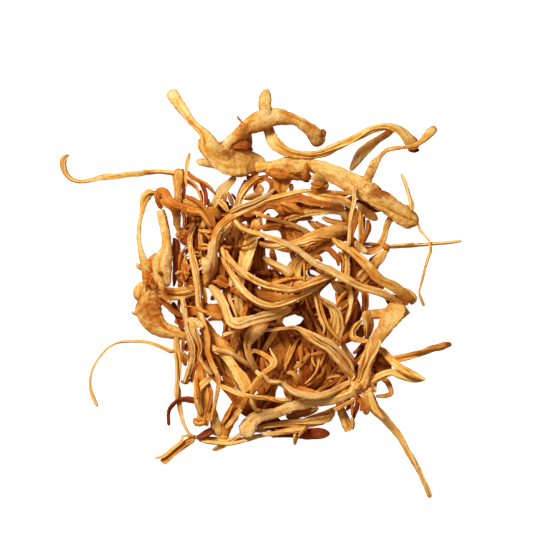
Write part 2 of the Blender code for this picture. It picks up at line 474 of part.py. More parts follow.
def section_corners(centre, direction, width, thickness):
    """Six corners around one point of the strand."""
    across = np.array([-direction[1], direction[0], 0.0])
    across /= np.linalg.norm(across)
    up = np.cross(direction, across)
    angles = [2 * math.pi * k / SIDES for k in range(SIDES)]
    return [centre + across * (width / 2 * math.cos(a)) + up * (thickness / 2 * math.sin(a)) for a in angles]


def strand_mesh(centres, thickness, strand):
    """Corners and faces of one strand: rings of corners joined by quads, with an end cap each side."""
    chosen = choose_sections(centres)
    path = centres[:, [0, 1, 3]]
    directions = np.gradient(path, axis=0)
    directions /= np.linalg.norm(directions, axis=1)[:, None]
    corners = []
    for index in chosen:
        ring = section_corners(path[index], directions[index], centres[index, 2], thickness[index])
        if strand.rests:
            ring[4][2] = 0.0
            ring[5][2] = 0.0
        corners += ring
    faces = []
    for ring in range(len(chosen) - 1):
        first = ring * SIDES
        for side in range(SIDES):
            after = (side + 1) % SIDES
            faces.append([first + side, first + after, first + SIDES + after, first + SIDES + side])
    starts, finishes = strand.ends.split("-")
    last = (len(chosen) - 1) * SIDES
    for first, index, kind, way in ((0, chosen[0], starts, -1), (last, chosen[-1], finishes, 1)):
        rim = [first + side for side in range(SIDES)]
        if way < 0:
            rim.reverse()
        if kind == "cut":
            faces.append(rim)
            continue
        corners.append(path[index] + directions[index] * way * centres[index, 2] * DOME)
        tip = len(corners) - 1
        faces += [[rim[side], rim[(side + 1) % SIDES], tip] for side in range(SIDES)]
    return np.array(corners), faces, chosen


def surface_points(corners, faces):
    """Points spread over every face, closer together than the cells of the height map."""
    spread = []
    for face in faces:
        for index in range(1, len(face) - 1):
            a, b, c = corners[face[0]], corners[face[index]], corners[face[index + 1]]
            longest = max(np.linalg.norm(b - a), np.linalg.norm(c - a), np.linalg.norm(c - b))
            count = max(1, int(math.ceil(longest / (0.6 * CELL))))
            u, v = np.meshgrid(np.arange(count + 1), np.arange(count + 1))
            keep = (u + v) <= count
            u = u[keep][:, None] / count
            v = v[keep][:, None] / count
            spread.append(a + u * (b - a) + v * (c - a))
    return np.vstack(spread)


def grown_on(strand, line, laid):
    """Trim each joined end clear of the strand it grows from, and find the height it is held at."""
    held = {}
    for join in strand.joins.split():
        end, parent_name = join.split(":")
        parent = laid[parent_name]
        if end == "finish":
            line = line[::-1]
        away = np.hypot(line[:, None, 0] - parent[None, :, 0], line[:, None, 1] - parent[None, :, 1])
        clear = (away - parent[None, :, 2] / 2).min(axis=1)
        room = DOME * line[:, 2] + GAP + 1.5 * CELL
        first = int(np.argmax(clear > room))
        line = line[first:]
        held[end] = parent[int(np.argmin(away[first])), 3]
        if end == "finish":
            line = line[::-1]
    return line, held


def lay_strand(strand, heights, laid, rng):
    """Bend one strand over what lies there already and return its corners and faces."""
    line = smooth_route(strand)
    line, ends_held = grown_on(strand, line, laid)
    held = {0 if end == "start" else len(line) - 1: height for end, height in ends_held.items()}
    if strand.middle:
        held[0] = strand.middle
        held[len(line) - 1] = strand.middle
    thickness = thickness_of(line[:, 2], strand.flat)
    curl = natural_curl(len(line), strand.bow, rng)
    lowest = support_under(line, thickness, heights)
    if strand.rests:
        lowest[:] = 0
        curl[:] = 0
    for _ in range(14):
        middle = bend_over(lowest, line[:, 2], curl, held)
        if strand.rests:
            middle = thickness / 2 * math.sin(math.pi / 3)
        centres = np.column_stack([line, middle])
        corners, faces, chosen = strand_mesh(centres, thickness, strand)
        points = surface_points(corners, faces)
        floor = heights.read(points[:, :2])
        floor = np.where(floor > 0, floor + GAP, 0)
        short = floor - points[:, 2]
        if strand.rests or short.max() < 2e-5:
            break
        # raise the strand's lowest allowed height around every place where it still sinks in
        nearest = nearest_on_line(points[short > 2e-5], line)
        raised = lowest.copy()
        np.maximum.at(raised, nearest, middle[nearest] + short[short > 2e-5] + 2e-5)
        lowest = raised
    heights.lay(points)
    laid[strand.name] = centres
    return corners, faces, float(short.max())


def nearest_on_line(points, line):
    """Index of the route point that lies nearest in plan to each surface point."""
    away = points[:, None, :2] - line[None, :, :2]
    return np.argmin((away ** 2).sum(axis=2), axis=1)


# ---- Scene ----------------------------------------------------------------------------------------------------
def clear_scene():
    for item in list(bpy.data.objects):
        bpy.data.objects.remove(item, do_unlink=True)


def material_for(strand):
    """Each strand has its own material, from its colour group."""
    material = bpy.data.materials.new(strand.name + "_flesh")
    material.use_nodes = True
    shader = material.node_tree.nodes["Principled BSDF"]
    colour = COLOURS[strand.colour]
    shader.inputs["Base Color"].default_value = (*colour, 1.0)
    shader.inputs["Roughness"].default_value = ROUGHNESS
    shader.inputs["Metallic"].default_value = 0.0
    material.diffuse_color = (*colour, 1.0)
    return material


def add_object(strand, corners, faces):
    mesh = bpy.data.meshes.new(strand.name)
    mesh.from_pydata([tuple(corner) for corner in corners], [], faces)
    mesh.validate()
    mesh.update()
    mesh.shade_smooth()
    mesh.set_sharp_from_angle(angle=math.radians(50))
    item = bpy.data.objects.new(strand.name, mesh)
    item.data.materials.append(material_for(strand))
    bpy.context.collection.objects.link(item)
    return item


def build():
    clear_scene()
    heights = HeightMap()
    laid = {}
    total = 0
    for order, strand in enumerate(STRANDS):
        rng = random.Random(SEED + order)
        corners, faces, short = lay_strand(strand, heights, laid, rng)
        add_object(strand, corners, faces)
        triangles = sum(len(face) - 2 for face in faces)
        total += triangles
        print(f"{strand.name:22s} {triangles:4d} triangles, top {corners[:, 2].max() * 1000:5.2f} mm, "
              f"lowest {corners[:, 2].min() * 1000:5.2f} mm, sinks {short * 1000:6.3f} mm")
    print("triangles in all:", total)


build()
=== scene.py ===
# %% [markdown]
# # A clump of dried cordyceps
# Cordyceps fruiting bodies are orange clubs and threads that grow in a tuft. Dried, they shrink
# and wrinkle lengthwise, bow, and catch in one another, so that a handful holds together like a
# small nest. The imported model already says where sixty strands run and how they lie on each
# other. This script grows a wrinkled skin along each of them, adds the finer threads between
# them, and lights the clump from above on a pale table.

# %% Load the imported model
import json
import math
import random
from functools import partial
from types import SimpleNamespace

import bmesh
import bpy
import numpy as np
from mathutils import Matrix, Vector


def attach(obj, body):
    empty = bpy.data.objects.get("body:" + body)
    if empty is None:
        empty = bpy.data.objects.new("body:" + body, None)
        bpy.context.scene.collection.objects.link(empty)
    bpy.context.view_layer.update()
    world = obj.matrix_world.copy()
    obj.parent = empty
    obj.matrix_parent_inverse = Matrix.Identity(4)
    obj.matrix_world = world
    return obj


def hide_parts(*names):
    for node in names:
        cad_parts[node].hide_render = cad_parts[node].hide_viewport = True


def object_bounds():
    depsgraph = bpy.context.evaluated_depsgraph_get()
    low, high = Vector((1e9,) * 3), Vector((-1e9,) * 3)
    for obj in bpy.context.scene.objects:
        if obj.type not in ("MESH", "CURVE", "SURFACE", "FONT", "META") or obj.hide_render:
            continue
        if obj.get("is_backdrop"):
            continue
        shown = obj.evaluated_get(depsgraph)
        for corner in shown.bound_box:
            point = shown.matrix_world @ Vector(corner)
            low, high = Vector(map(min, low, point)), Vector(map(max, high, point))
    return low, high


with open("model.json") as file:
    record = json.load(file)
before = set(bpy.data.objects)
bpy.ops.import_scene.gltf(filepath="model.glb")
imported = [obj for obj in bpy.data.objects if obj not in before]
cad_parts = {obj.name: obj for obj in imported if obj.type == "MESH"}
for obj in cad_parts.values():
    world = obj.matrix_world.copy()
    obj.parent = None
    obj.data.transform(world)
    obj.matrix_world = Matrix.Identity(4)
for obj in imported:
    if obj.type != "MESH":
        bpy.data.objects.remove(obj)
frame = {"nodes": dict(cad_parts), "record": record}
cad_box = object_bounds()
record = frame["record"]
MM = 0.001
slot_of = {part["node"]: part["material_slot"] for part in record["subparts"]}
print(len(frame["nodes"]), "strands in the packed model")

# %% [markdown]
# ## Camera
# The clump is seen straight from above, with hardly any perspective: strands at its edges show
# no more of their sides than those in its middle. So the camera stands far away with a long
# lens. The plan was drawn on a grid of quarter millimetres whose point (260.6, 293.3) is the
# middle of the clump, and the picture is 560 of those squares across.

# %% Camera straight above
GRID = 0.25 * MM
GRID_MIDDLE = (260.6, 293.3)
PICTURE = 560
CAMERA_HEIGHT = 3.0
MEASURED_HEIGHT = 8 * MM  # the height above the table at which one square fills one pixel
FILM_WIDTH = 36


def on_table(across, down):
    """A point of the plan grid in metres."""
    return (across - GRID_MIDDLE[0]) * GRID, (GRID_MIDDLE[1] - down) * GRID


def put_in_scene(name, data):
    """A new object in the scene, at the origin."""
    thing = bpy.data.objects.new(name, data)
    bpy.context.scene.collection.objects.link(thing)
    return thing


camera_data = bpy.data.cameras.new("camera")
camera = put_in_scene("camera", camera_data)
camera.location = (*on_table(PICTURE / 2, PICTURE / 2), CAMERA_HEIGHT)
camera_data.sensor_width = FILM_WIDTH
camera_data.lens = FILM_WIDTH * (CAMERA_HEIGHT - MEASURED_HEIGHT) / (PICTURE * GRID)
camera_data.clip_end = 20
bpy.context.scene.camera = camera
print("lens", round(camera_data.lens), "mm")

# %% [markdown]
# ## Light
# Soft studio light: a broad panel above and to the upper left, a weaker one opposite, and a
# pale surround that fills the shadows and fades out towards the ground. A square area light is
# the simplest soft light, and it only has to be turned towards the clump.

# %% Two soft panels
PANELS = {
    # place in metres, size, power, colour
    "key_panel": ((-0.55, 0.72, 0.95), 0.42, 23.5, (1.0, 0.985, 0.96)),
    "fill_panel": ((0.75, -0.35, 0.8), 0.8, 1.0, (1.0, 0.99, 0.975)),
}
for name, (place, size, power, colour) in PANELS.items():
    panel_data = bpy.data.lights.new(name, "AREA")
    panel_data.size = size
    panel_data.energy = power
    panel_data.color = colour
    panel = put_in_scene(name, panel_data)
    panel.location = place
    panel.rotation_euler = (-panel.location).to_track_quat("-Z", "Y").to_euler()
print(len(PANELS), "panels")

# %% Pale surround
SURROUND_STRENGTH = 0.30
SURROUND_FADE = {"From Min": -0.15, "From Max": 0.35, "To Min": 0.12}  # by height in the sky

world = bpy.data.worlds.new("surround")
bpy.context.scene.world = world
world.use_nodes = True
surround = world.node_tree.nodes
sky = surround.new("ShaderNodeTexCoord").outputs["Generated"]
height = surround.new("ShaderNodeSeparateXYZ")
fade = surround.new("ShaderNodeMapRange")
for socket_name, value in SURROUND_FADE.items():
    fade.inputs[socket_name].default_value = value
world.node_tree.links.new(sky, height.inputs[0])
world.node_tree.links.new(height.outputs["Z"], fade.inputs["Value"])
world.node_tree.links.new(fade.outputs[0], surround["Background"].inputs["Color"])
surround["Background"].inputs["Strength"].default_value = SURROUND_STRENGTH
print("surround of strength", SURROUND_STRENGTH)

# %% [markdown]
# ## Table and view
# The table is white and glows a little, as a light table does, which keeps the gaps between the
# strands bright down to the table top. The view has the curves of a contrasty colour film: white
# stays white, while shadows lose more of their green and blue than of their red and turn warm.

# %% White table
TABLE_REACH = 3.0
TABLE_LOOK = {"Base Color": (0.6, 0.6, 0.6, 1.0), "Roughness": 0.9,
              "Emission Color": (1.0, 1.0, 1.0, 1.0), "Emission Strength": 0.90}

table_mesh = bpy.data.meshes.new("table")
table_corners = [(x * TABLE_REACH, y * TABLE_REACH, 0) for x, y in ((-1, -1), (1, -1), (1, 1), (-1, 1))]
table_mesh.from_pydata(table_corners, [], [(0, 1, 2, 3)])
table = put_in_scene("table", table_mesh)
table_white = bpy.data.materials.new("table_white")
table_white.use_nodes = True
for socket_name, value in TABLE_LOOK.items():
    table_white.node_tree.nodes["Principled BSDF"].inputs[socket_name].default_value = value
table_mesh.materials.append(table_white)
table.visible_diffuse = False
table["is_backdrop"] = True
print("table", 2 * TABLE_REACH, "m wide")

# %% View curves
VIEW_CURVES = {
    # place of the curve in the list (green, blue), and its points between black and white
    1: ((0.1, 0.07), (0.35, 0.29), (0.7, 0.68)),
    2: ((0.04, 0.020), (0.1, 0.058), (0.25, 0.22), (0.6, 0.6), (0.85, 0.85)),
}
view = bpy.context.scene.view_settings
view.view_transform = "Standard"
view.use_curve_mapping = True
for channel, spots in VIEW_CURVES.items():
    for spot in spots:
        view.curve_mapping.curves[channel].points.new(*spot)
view.curve_mapping.update()
print(len(VIEW_CURVES), "view curves")

# %% [markdown]
# ## Where the strands run
# Each packed strand is a chain of six-cornered sections with a point at its rounded ends. A
# merged copy of its mesh gives them back: going outwards from the point at one end, corner by
# corner, every step is one section. The middle of a section is a point of the strand's centre
# line, and its size gives the width and the thickness there.

# %% Read a strand's centre line from its mesh
SECTION_CORNERS = 6
END_SECTION_SHARE = 0.8  # of its neighbour's size, where a section is only a point


def merged_corners(node):
    """The corners of a node's mesh, merged, and which corners are joined to which."""
    work = bmesh.new()
    work.from_mesh(node.data)
    bmesh.ops.remove_doubles(work, verts=work.verts, dist=1e-6)
    corners = np.array([corner.co[:] for corner in work.verts])
    joined = [[edge.other_vert(corner).index for edge in corner.link_edges] for corner in work.verts]
    work.free()
    return corners, joined


def steps_from(start, joined):
    """Corners sorted by how many edges away from the start they are."""
    seen = {start}
    levels = [[start]]
    while levels[-1]:
        ahead = sorted({other for corner in levels[-1] for other in joined[corner]} - seen)
        seen.update(ahead)
        levels.append(ahead)
    return levels[:-1]


def is_whole(chain):
    """True for a chain that starts at a point and has full sections from there on."""
    full = all(len(level) == SECTION_CORNERS for level in chain[1:-1])
    return full and len(chain[-1]) in (1, SECTION_CORNERS)


def read_strand(node):
    """Rows of x, y, z, width, thickness along the middle, and whether each end is rounded."""
    corners, joined = merged_corners(node)
    chains = [steps_from(start, joined) for start in range(len(corners))]
    chain = max((c for c in chains if is_whole(c)), key=len)
    middles = np.array([corners[level].mean(axis=0) for level in chain])
    ways = np.gradient(middles, axis=0)
    rows = []
    for middle, way, level in zip(middles, ways, chain):
        across = np.array([-way[1], way[0], 0])
        across /= np.linalg.norm(across)
        upward = np.cross(way, across)
        upward /= np.linalg.norm(upward)
        away = corners[level] - middle
        rows.append([*middle, np.ptp(away @ across), np.ptp(away @ upward) / math.sin(math.pi / 3)])
    rows = np.array(rows)
    for end, beside in ((0, 1), (-1, -2)):
        if len(chain[end]) == 1:
            rows[end, 3:] = rows[beside, 3:] * END_SECTION_SHARE
    return rows, (True, len(chain[-1]) == 1)


strands = {}
rounded = {}
for node_name in sorted(frame["nodes"]):
    strands[node_name], rounded[node_name] = read_strand(frame["nodes"][node_name])
print("read", len(strands), "centre lines,", sum(len(rows) for rows in strands.values()), "sections")

# %% [markdown]
# ## Smooth centre lines
# A strand dries into one smooth curve, so a curve is drawn through the sections' middles and
# cut into short, even steps. At a rounded end the steps get closer together while the width
# falls like the edge of a ball, which closes the skin in a small dome.

# %% Smooth a centre line
STEP = 0.32 * MM
PARTS_BETWEEN_ROWS = 20
END_SHARES = (0.02, 0.12, 0.3, 0.6)  # how far into a rounded end the extra sections are
LEAST_END = 0.15 * MM


def length_so_far(line):
    """The length travelled along a line, at each of its points."""
    return np.concatenate([[0], np.cumsum(np.linalg.norm(np.diff(line[:, :3], axis=0), axis=1))])


def rows_at(places, travelled, line):
    """A line's rows, read off at other places along its length."""
    return np.column_stack([np.interp(places, travelled, column) for column in line.T])


def smooth_line(rows, step=STEP):
    """The rows again, on a curve through them, one for every step of length."""
    rows = np.asarray(rows, dtype=float)
    padded = np.vstack([2 * rows[0] - rows[1], rows, 2 * rows[-1] - rows[-2]])
    fine = []
    for index in range(1, len(padded) - 2):
        before, start, end, after = padded[index - 1:index + 3]
        for t in np.arange(0, 1, 1 / PARTS_BETWEEN_ROWS):
            fine.append(0.5 * (2 * start + (end - before) * t
                               + (2 * before - 5 * start + 4 * end - after) * t ** 2
                               + (3 * start - before - 3 * end + after) * t ** 3))
    fine = np.array(fine + [rows[-1]])
    travelled = length_so_far(fine)
    return rows_at(np.linspace(0, travelled[-1], max(5, int(travelled[-1] / step))), travelled, fine)


def round_ends(line, both):
    """Extra sections and falling widths at the rounded ends of a line."""
    for rounded_end in reversed(both):
        line = line[::-1]
        if not rounded_end:
            continue
        travelled = length_so_far(line)
        reach = max(0.45 * np.interp(0.6 * MM, travelled, line[:, 3]), LEAST_END)
        places = np.concatenate([np.array(END_SHARES) * reach, travelled[travelled > reach * 0.85]])
        line = rows_at(places, travelled, line)
        depth = np.clip(places / reach, 0, 1)
        line[:, 3:] *= np.sqrt(1 - (1 - depth) ** 2)[:, None]
    return line


print("a centre line gets a section every", round(STEP / MM, 2), "mm")

# %% [markdown]
# ## Three strands put right
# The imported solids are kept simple, and three of them differ a little from the real strands. The
# log's cut end has swollen and leans over, the long tail leans to the left on its way down, and
# the twig on the right comes straight out from under the spike beside it. It is enough to move
# a few rows of their centre lines.

# %% Put three strands right
LOG_SWELLING = 1.06
LOG_DROP = 1.2 * GRID
LOG_LEAN = 3 * GRID
TAIL_LEAN = 2.5 * GRID
TAIL_LEAN_PLACE = on_table(0, 415)[1]
TAIL_LEAN_REACH = 16 * GRID
TWIG_START = [[*on_table(389, 361), 5.0 * MM, 7 * GRID, 5 * GRID],
              [*on_table(395.5, 359.3), 6.4 * MM, 9 * GRID, 6 * GRID]]

log = strands["bottom_log"]
log[-3:, 3:] *= LOG_SWELLING
log[-4:, 1] -= LOG_DROP
log[-1, 0] -= LOG_LEAN
rounded["bottom_log"] = (True, True)
tail = strands["long_tail_low_right"]
tail[:, 0] -= TAIL_LEAN * np.exp(-((tail[:, 1] - TAIL_LEAN_PLACE) / TAIL_LEAN_REACH) ** 2)
strands["twig_right"] = np.vstack([TWIG_START, strands["twig_right"][2:]])
print("log, tail and twig put right")

# %% [markdown]
# ## Where strands grow together
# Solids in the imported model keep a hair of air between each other. On the real clump these
# strands are grown together, so each joined end is carried on into its parent's middle.

# %% Carry joined ends into their parents
GROWN_FROM = {
    "hanging_loop": "gall_club", "thin_arc_left": "hanging_loop", "forked_stub_low": "hanging_loop",
    "long_tail_low_right": "base_knot", "thin_horizontal": "arm_under_body", "outer_left_arc": "gall_club",
    "hook_left": "folded_band", "orange_diag": "hanging_loop", "bottom_log": "base_knot",
    "tail_right": "broad_body", "fork_strand": "folded_leaf",
    "lower_arc": "base_knot", "strand_diag_mid": "base_knot", "arm_right": "base_knot",
    "spike_lower": "base_knot", "spike_upper": "arm_right",
    "club_plate": "broad_body", "arch": "club_plate", "arch_horn": "arch", "club_right": "broad_body",
}


def carry_on(rows, parent_rows):
    """The strand's rows with its nearer end carried on to the parent's centre line."""
    parent = smooth_line(parent_rows)
    gaps = [np.linalg.norm(parent[:, :3] - rows[end, :3], axis=1) for end in (0, -1)]
    end = 0 if gaps[0].min() < gaps[1].min() else -1
    meeting = parent[int(np.argmin(gaps[end])), :3]
    rows = rows if end == 0 else rows[::-1]
    rows = rows.copy()
    rows[0, 3:] = rows[1, 3:]
    ahead = np.array([*(rows[0, :3] * 0.35 + meeting * 0.65), *rows[0, 3:] * 0.95])
    rows = np.vstack([[*meeting, *rows[0, 3:] * 0.8], ahead, rows])
    return rows if end == 0 else rows[::-1]


for child, parent in GROWN_FROM.items():
    strands[child] = carry_on(strands[child], strands[parent])
print(len(GROWN_FROM), "ends carried into their parents")

# %% [markdown]
# ## Laying the finer threads
# Between the sixty strands the clump is full of thinner threads, stubs and crumpled bits. They
# are drawn in plan, like the strands, and laid at one of seven levels of the clump: each one
# rests on whatever lies below its level and stays under whatever lies above it. A thread is
# stiff, so its height is the shape of a springy strip that is pushed up by what it lies on.

# %% Height maps of the clump, one for each level
LEVELS = (None, "cut_stem", "spear_leaf", "bean_leaf", "stem_to_plate", "twig_right", "thin_upright_right")
LEVEL_NAMES = ("under", "floor", "low", "mid", "upper", "high", "top")
NO_ROOF = 0.05
laid_order = [part["node"] for part in record["subparts"]]
tops = np.zeros((len(LEVELS), PICTURE, PICTURE))
roofs = np.full((len(LEVELS), PICTURE, PICTURE), NO_ROOF)


def squares(x, y):
    """Plan grid square, as row and column, under each place."""
    down = np.clip(np.round(GRID_MIDDLE[1] - y / GRID).astype(int), 0, PICTURE - 1)
    across = np.clip(np.round(GRID_MIDDLE[0] + x / GRID).astype(int), 0, PICTURE - 1)
    return down, across


def band(line, spacing=0.8):
    """Squares under a strand, with its half thickness and middle height over each."""
    line = smooth_line(line, GRID * spacing)
    way = np.gradient(line[:, :2], axis=0)
    way /= np.maximum(np.linalg.norm(way, axis=1), 1e-9)[:, None]
    count = 2 * int(math.ceil(line[:, 3].max() / GRID * 0.7)) + 1
    share = np.linspace(-1, 1, max(3, count))[:, None]
    x = line[:, 0] - way[:, 1] * share * line[:, 3] / 2
    y = line[:, 1] + way[:, 0] * share * line[:, 3] / 2
    half = line[:, 4] / 2 * np.sqrt(1 - share ** 2)
    return (*squares(x, y), half, line[:, 2] + 0 * share)


def lay(line, level):
    """Put a strand into the maps: it lies under the levels above its own, and over the others."""
    down, across, half, middle = band(line)
    for number in range(len(LEVELS)):
        if number >= level:
            np.maximum.at(tops[number], (down, across), middle + half)
        else:
            np.minimum.at(roofs[number], (down, across), middle - half)


for order, node_name in enumerate(laid_order):
    lay(strands[node_name],
        next(n for n, last in enumerate(LEVELS) if last and laid_order.index(last) >= order))
print("heights laid; the top level reaches", round(tops[-1].max() / MM, 1), "mm")

# %% The upper side of the clump, smoothed over a few strands, and how crowded it is there
# painted shade: strands that lie deeper than these under the clump's smoothed upper side, where it is
# crowded, are painted darker and redder
PAINTED_SHADE_START = 0.4 * MM
PAINTED_SHADE_DEPTH = 3.0 * MM
BLUR_REACH = 10
CROWDED_SHARE = 0.35  # of the squares nearby that a strand covers


def blurred(grid):
    """A map smoothed over a few strands' widths."""
    for _ in range(2):
        grid = np.mean([np.roll(grid, (shift * (1 - axis), shift * axis), (0, 1))
                        for axis in (0, 1) for shift in range(-BLUR_REACH, BLUR_REACH + 1)], axis=0)
    return grid


upper_side = blurred(tops[-1])
crowded = np.clip(blurred((tops[-1] > 0).astype(float)) / CROWDED_SHARE - 1.5, 0, 1)
print("the smoothed upper side reaches", round(upper_side.max() / MM, 1), "mm")

# %% [markdown]
# ## How a stiff thread lies
# The height of a thread is found as an engineer finds a beam's: its stiffness holds it straight,
# its weight pulls it down, and wherever it would sink into something it is pushed back. The
# places where it touches are not known beforehand, so they are guessed, the heights are
# worked out, and the guess is put right until it holds.

# %% Bend a thread over what it lies on
BEND_STEP = 0.5 * MM
STIFFNESS = 1.0e-6
CONTACT = 4000.0
BEND_ROUNDS = 40
MOST_SINKING = 0.1 * MM
STEEPEST = 0.7  # fall over run


def bend(lowest, highest, bow):
    """Heights of a springy strip that is held between two limits."""
    count = len(lowest)
    squeezed = lowest > highest
    middle = (lowest + highest) / 2
    lowest = np.where(squeezed, middle, lowest)
    highest = np.where(squeezed, middle, highest)
    second = np.diff(np.eye(count), 2, axis=0) / BEND_STEP ** 2
    stiff = STIFFNESS * BEND_STEP * second.T @ second
    pull = STIFFNESS * BEND_STEP * second.sum(axis=0) * -bow - BEND_STEP
    held_up = np.ones(count, dtype=bool)
    held_down = np.zeros(count, dtype=bool)
    for _ in range(BEND_ROUNDS):
        grip = CONTACT * (held_up | held_down) + 1e-9
        aim = np.where(held_up, lowest, highest)
        heights = np.linalg.solve(stiff + np.diag(grip), pull + grip * aim)
        up, down = heights < lowest, heights > highest
        if up.sum() < 2:
            up[np.argsort(heights - lowest)[:2]] = True
        if (up == held_up).all() and (down == held_down).all():
            break
        held_up, held_down = up, down & ~up
    return np.clip(heights, lowest - MOST_SINKING, np.maximum(highest, lowest))


def eased(heights, highest):
    """The same heights with the steep drops raised, as far as the strands above allow."""
    places = np.arange(len(heights)) * BEND_STEP
    drops = heights[None, :] - STEEPEST * np.abs(places[:, None] - places[None, :])
    return np.minimum(drops.max(axis=1), np.maximum(highest, heights))


print("no thread falls by more than", STEEPEST, "mm for each mm of its run")

# %% Lay one thread
HIGHEST_ARCH = 1.0 * MM  # over the highest place that a thread lies on
LOWEST_SHARE = 0.8       # of its half thickness, which its middle keeps above the table
TIP_THINNING = 0.35
TIP_REACH = 0.8 * MM


def thickness_of(width):
    """Thin threads are nearly round, wide bits are flat."""
    return width * np.clip(0.95 - 110.0 * width, 0.4, 1.0)


def thread(points, level, bow=20.0, thinness=1.0):
    """Lay one thread, drawn as (across, down, width) on the plan grid, and return its rows."""
    points = np.array(points, dtype=float)
    x, y = on_table(points[:, 0], points[:, 1])
    widths = points[:, 2] * GRID
    flat = np.column_stack([x, y, 0 * x, widths, thickness_of(widths) * thinness])
    line = smooth_line(flat, BEND_STEP)
    to_end = np.minimum(np.arange(len(line)), np.arange(len(line))[::-1]) * BEND_STEP
    line[:, 3:] *= (1 - TIP_THINNING * np.exp(-(to_end / TIP_REACH) ** 2))[:, None]
    half = line[:, 4] / 2
    down, across = squares(line[:, 0], line[:, 1])
    lowest = tops[level][down, across]
    for way in ((1, 0), (-1, 0), (0, 1), (0, -1)):
        lowest = np.maximum(lowest, tops[level][np.clip(down + way[0], 0, PICTURE - 1),
                                                np.clip(across + way[1], 0, PICTURE - 1)])
    highest = roofs[level][down, across] - half
    heights = eased(bend(lowest + half, highest, bow), highest)
    line[:, 2] = np.clip(heights, LOWEST_SHARE * half, (lowest + half).max() + HIGHEST_ARCH)
    lay(line, level)
    return line


print("threads are laid at one of the levels", ", ".join(LEVEL_NAMES))

# %% [markdown]
# ## The dried skin, as Geometry Nodes
# Every strand has the same kind of surface at its own size, so one tree grows them all. It
# takes a line whose points know their width and thickness, sweeps a ring along it, and moves
# each corner of the ring in or out. A dried strand is fluted: its skin stands up in a few sharp
# ribs and has sunk in between them, and the ribs wander slowly round it. Finer furrows run
# between the ribs; thick clubs have crosswise wrinkles and a fine grain of pimples as well. The
# tree also leaves notes on the mesh for the finish: the place on the unrolled skin, and how near
# to a rib or how deep in a furrow a corner lies.

# %% Small helpers that write nodes
SUMS = {"plus": "ADD", "minus": "SUBTRACT", "times": "MULTIPLY", "times_plus": "MULTIPLY_ADD",
        "power": "POWER", "sine": "SINE", "cosine": "COSINE", "positive": "ABSOLUTE",
        "smaller": "MINIMUM", "above": "GREATER_THAN"}


def add_node(tree, kind, values=(), **settings):
    """A new node; values are put on its inputs by place in order, sockets are linked."""
    node = tree.nodes.new(kind)
    for key, value in settings.items():
        setattr(node, key, value)
    for place, value in dict(values).items():
        if isinstance(value, bpy.types.NodeSocket):
            tree.links.new(value, node.inputs[place])
        else:
            node.inputs[place].default_value = value
    return node


def calculate(tree, operation, first, second=0.5, third=0.5):
    """One Math node."""
    return add_node(tree, "ShaderNodeMath", {0: first, 1: second, 2: third}, operation=operation).outputs[0]


def sums_in(tree):
    """Short names for the Math nodes of one tree: sums.times(a, b) and so on."""
    return SimpleNamespace(**{name: partial(calculate, tree, operation) for name, operation in SUMS.items()})


def vector_step(tree, operation, first, second=(0, 0, 0)):
    """One Vector Math node."""
    node = add_node(tree, "ShaderNodeVectorMath", {0: first, 1: second}, operation=operation)
    return node.outputs["Vector"]


def scaled(tree, vector, factor):
    """A vector made longer or shorter."""
    node = add_node(tree, "ShaderNodeVectorMath", {"Vector": vector, "Scale": factor}, operation="SCALE")
    return node.outputs["Vector"]


def join_vector(tree, x, y, z):
    """One vector from three numbers."""
    return add_node(tree, "ShaderNodeCombineXYZ", {0: x, 1: y, 2: z}).outputs[0]


def noise(tree, place, scale, detail=2.0, roughness=0.5):
    """Noise between about 0 and 1."""
    return add_node(tree, "ShaderNodeTexNoise", {"Vector": place, "Scale": scale, "Detail": detail,
                                                 "Roughness": roughness}).outputs[0]


print(len(SUMS), "sums have short names")

# %% The tree's sizes
# Depths are shares of the strand's half width, except the grain's, which is in metres. Runs and
# pitches say how fast a pattern changes along the strand, for each metre of it.
TREE_SIZES = {"Sides": 20, "Flute depth": 0.50, "Furrow depth": 0.30, "Furrows": 1.5, "Furrow run": 110.0,
              "Twist": 90.0, "Wander": 2.6, "Wrinkle depth": 0.26, "Wrinkle pitch": 900.0,
              "Grain depth": 0.09 * MM, "Crease angle": 0.5, "Seed": 3.0}
WANDER_RUN = 75.0
LOPSIDED = 0.55
FLUTE_RUN = 80.0
FLUTE_MIDDLE = 0.45
FURROW_MIDDLE = 0.42
FURROW_SHARPNESS = 4.2
SWELLING_RUN = 260.0
SWELLING = 0.45
GRAIN_SCALE = 1500.0
RIB_SHARPNESS = 3.0
LINE_NOTES = ("width", "thickness", "seed", "furrow", "lobes", "flutes", "flute", "club", "twist", "cup",
              "tone")
SPENT_NOTES = ("middle", "direction", "upward", "travelled", "turn", "width", "thickness", "furrow", "lobes",
               "flutes", "flute", "twist", "cup")
print(len(TREE_SIZES), "sizes, and", len(LINE_NOTES), "notes on each point of a line")


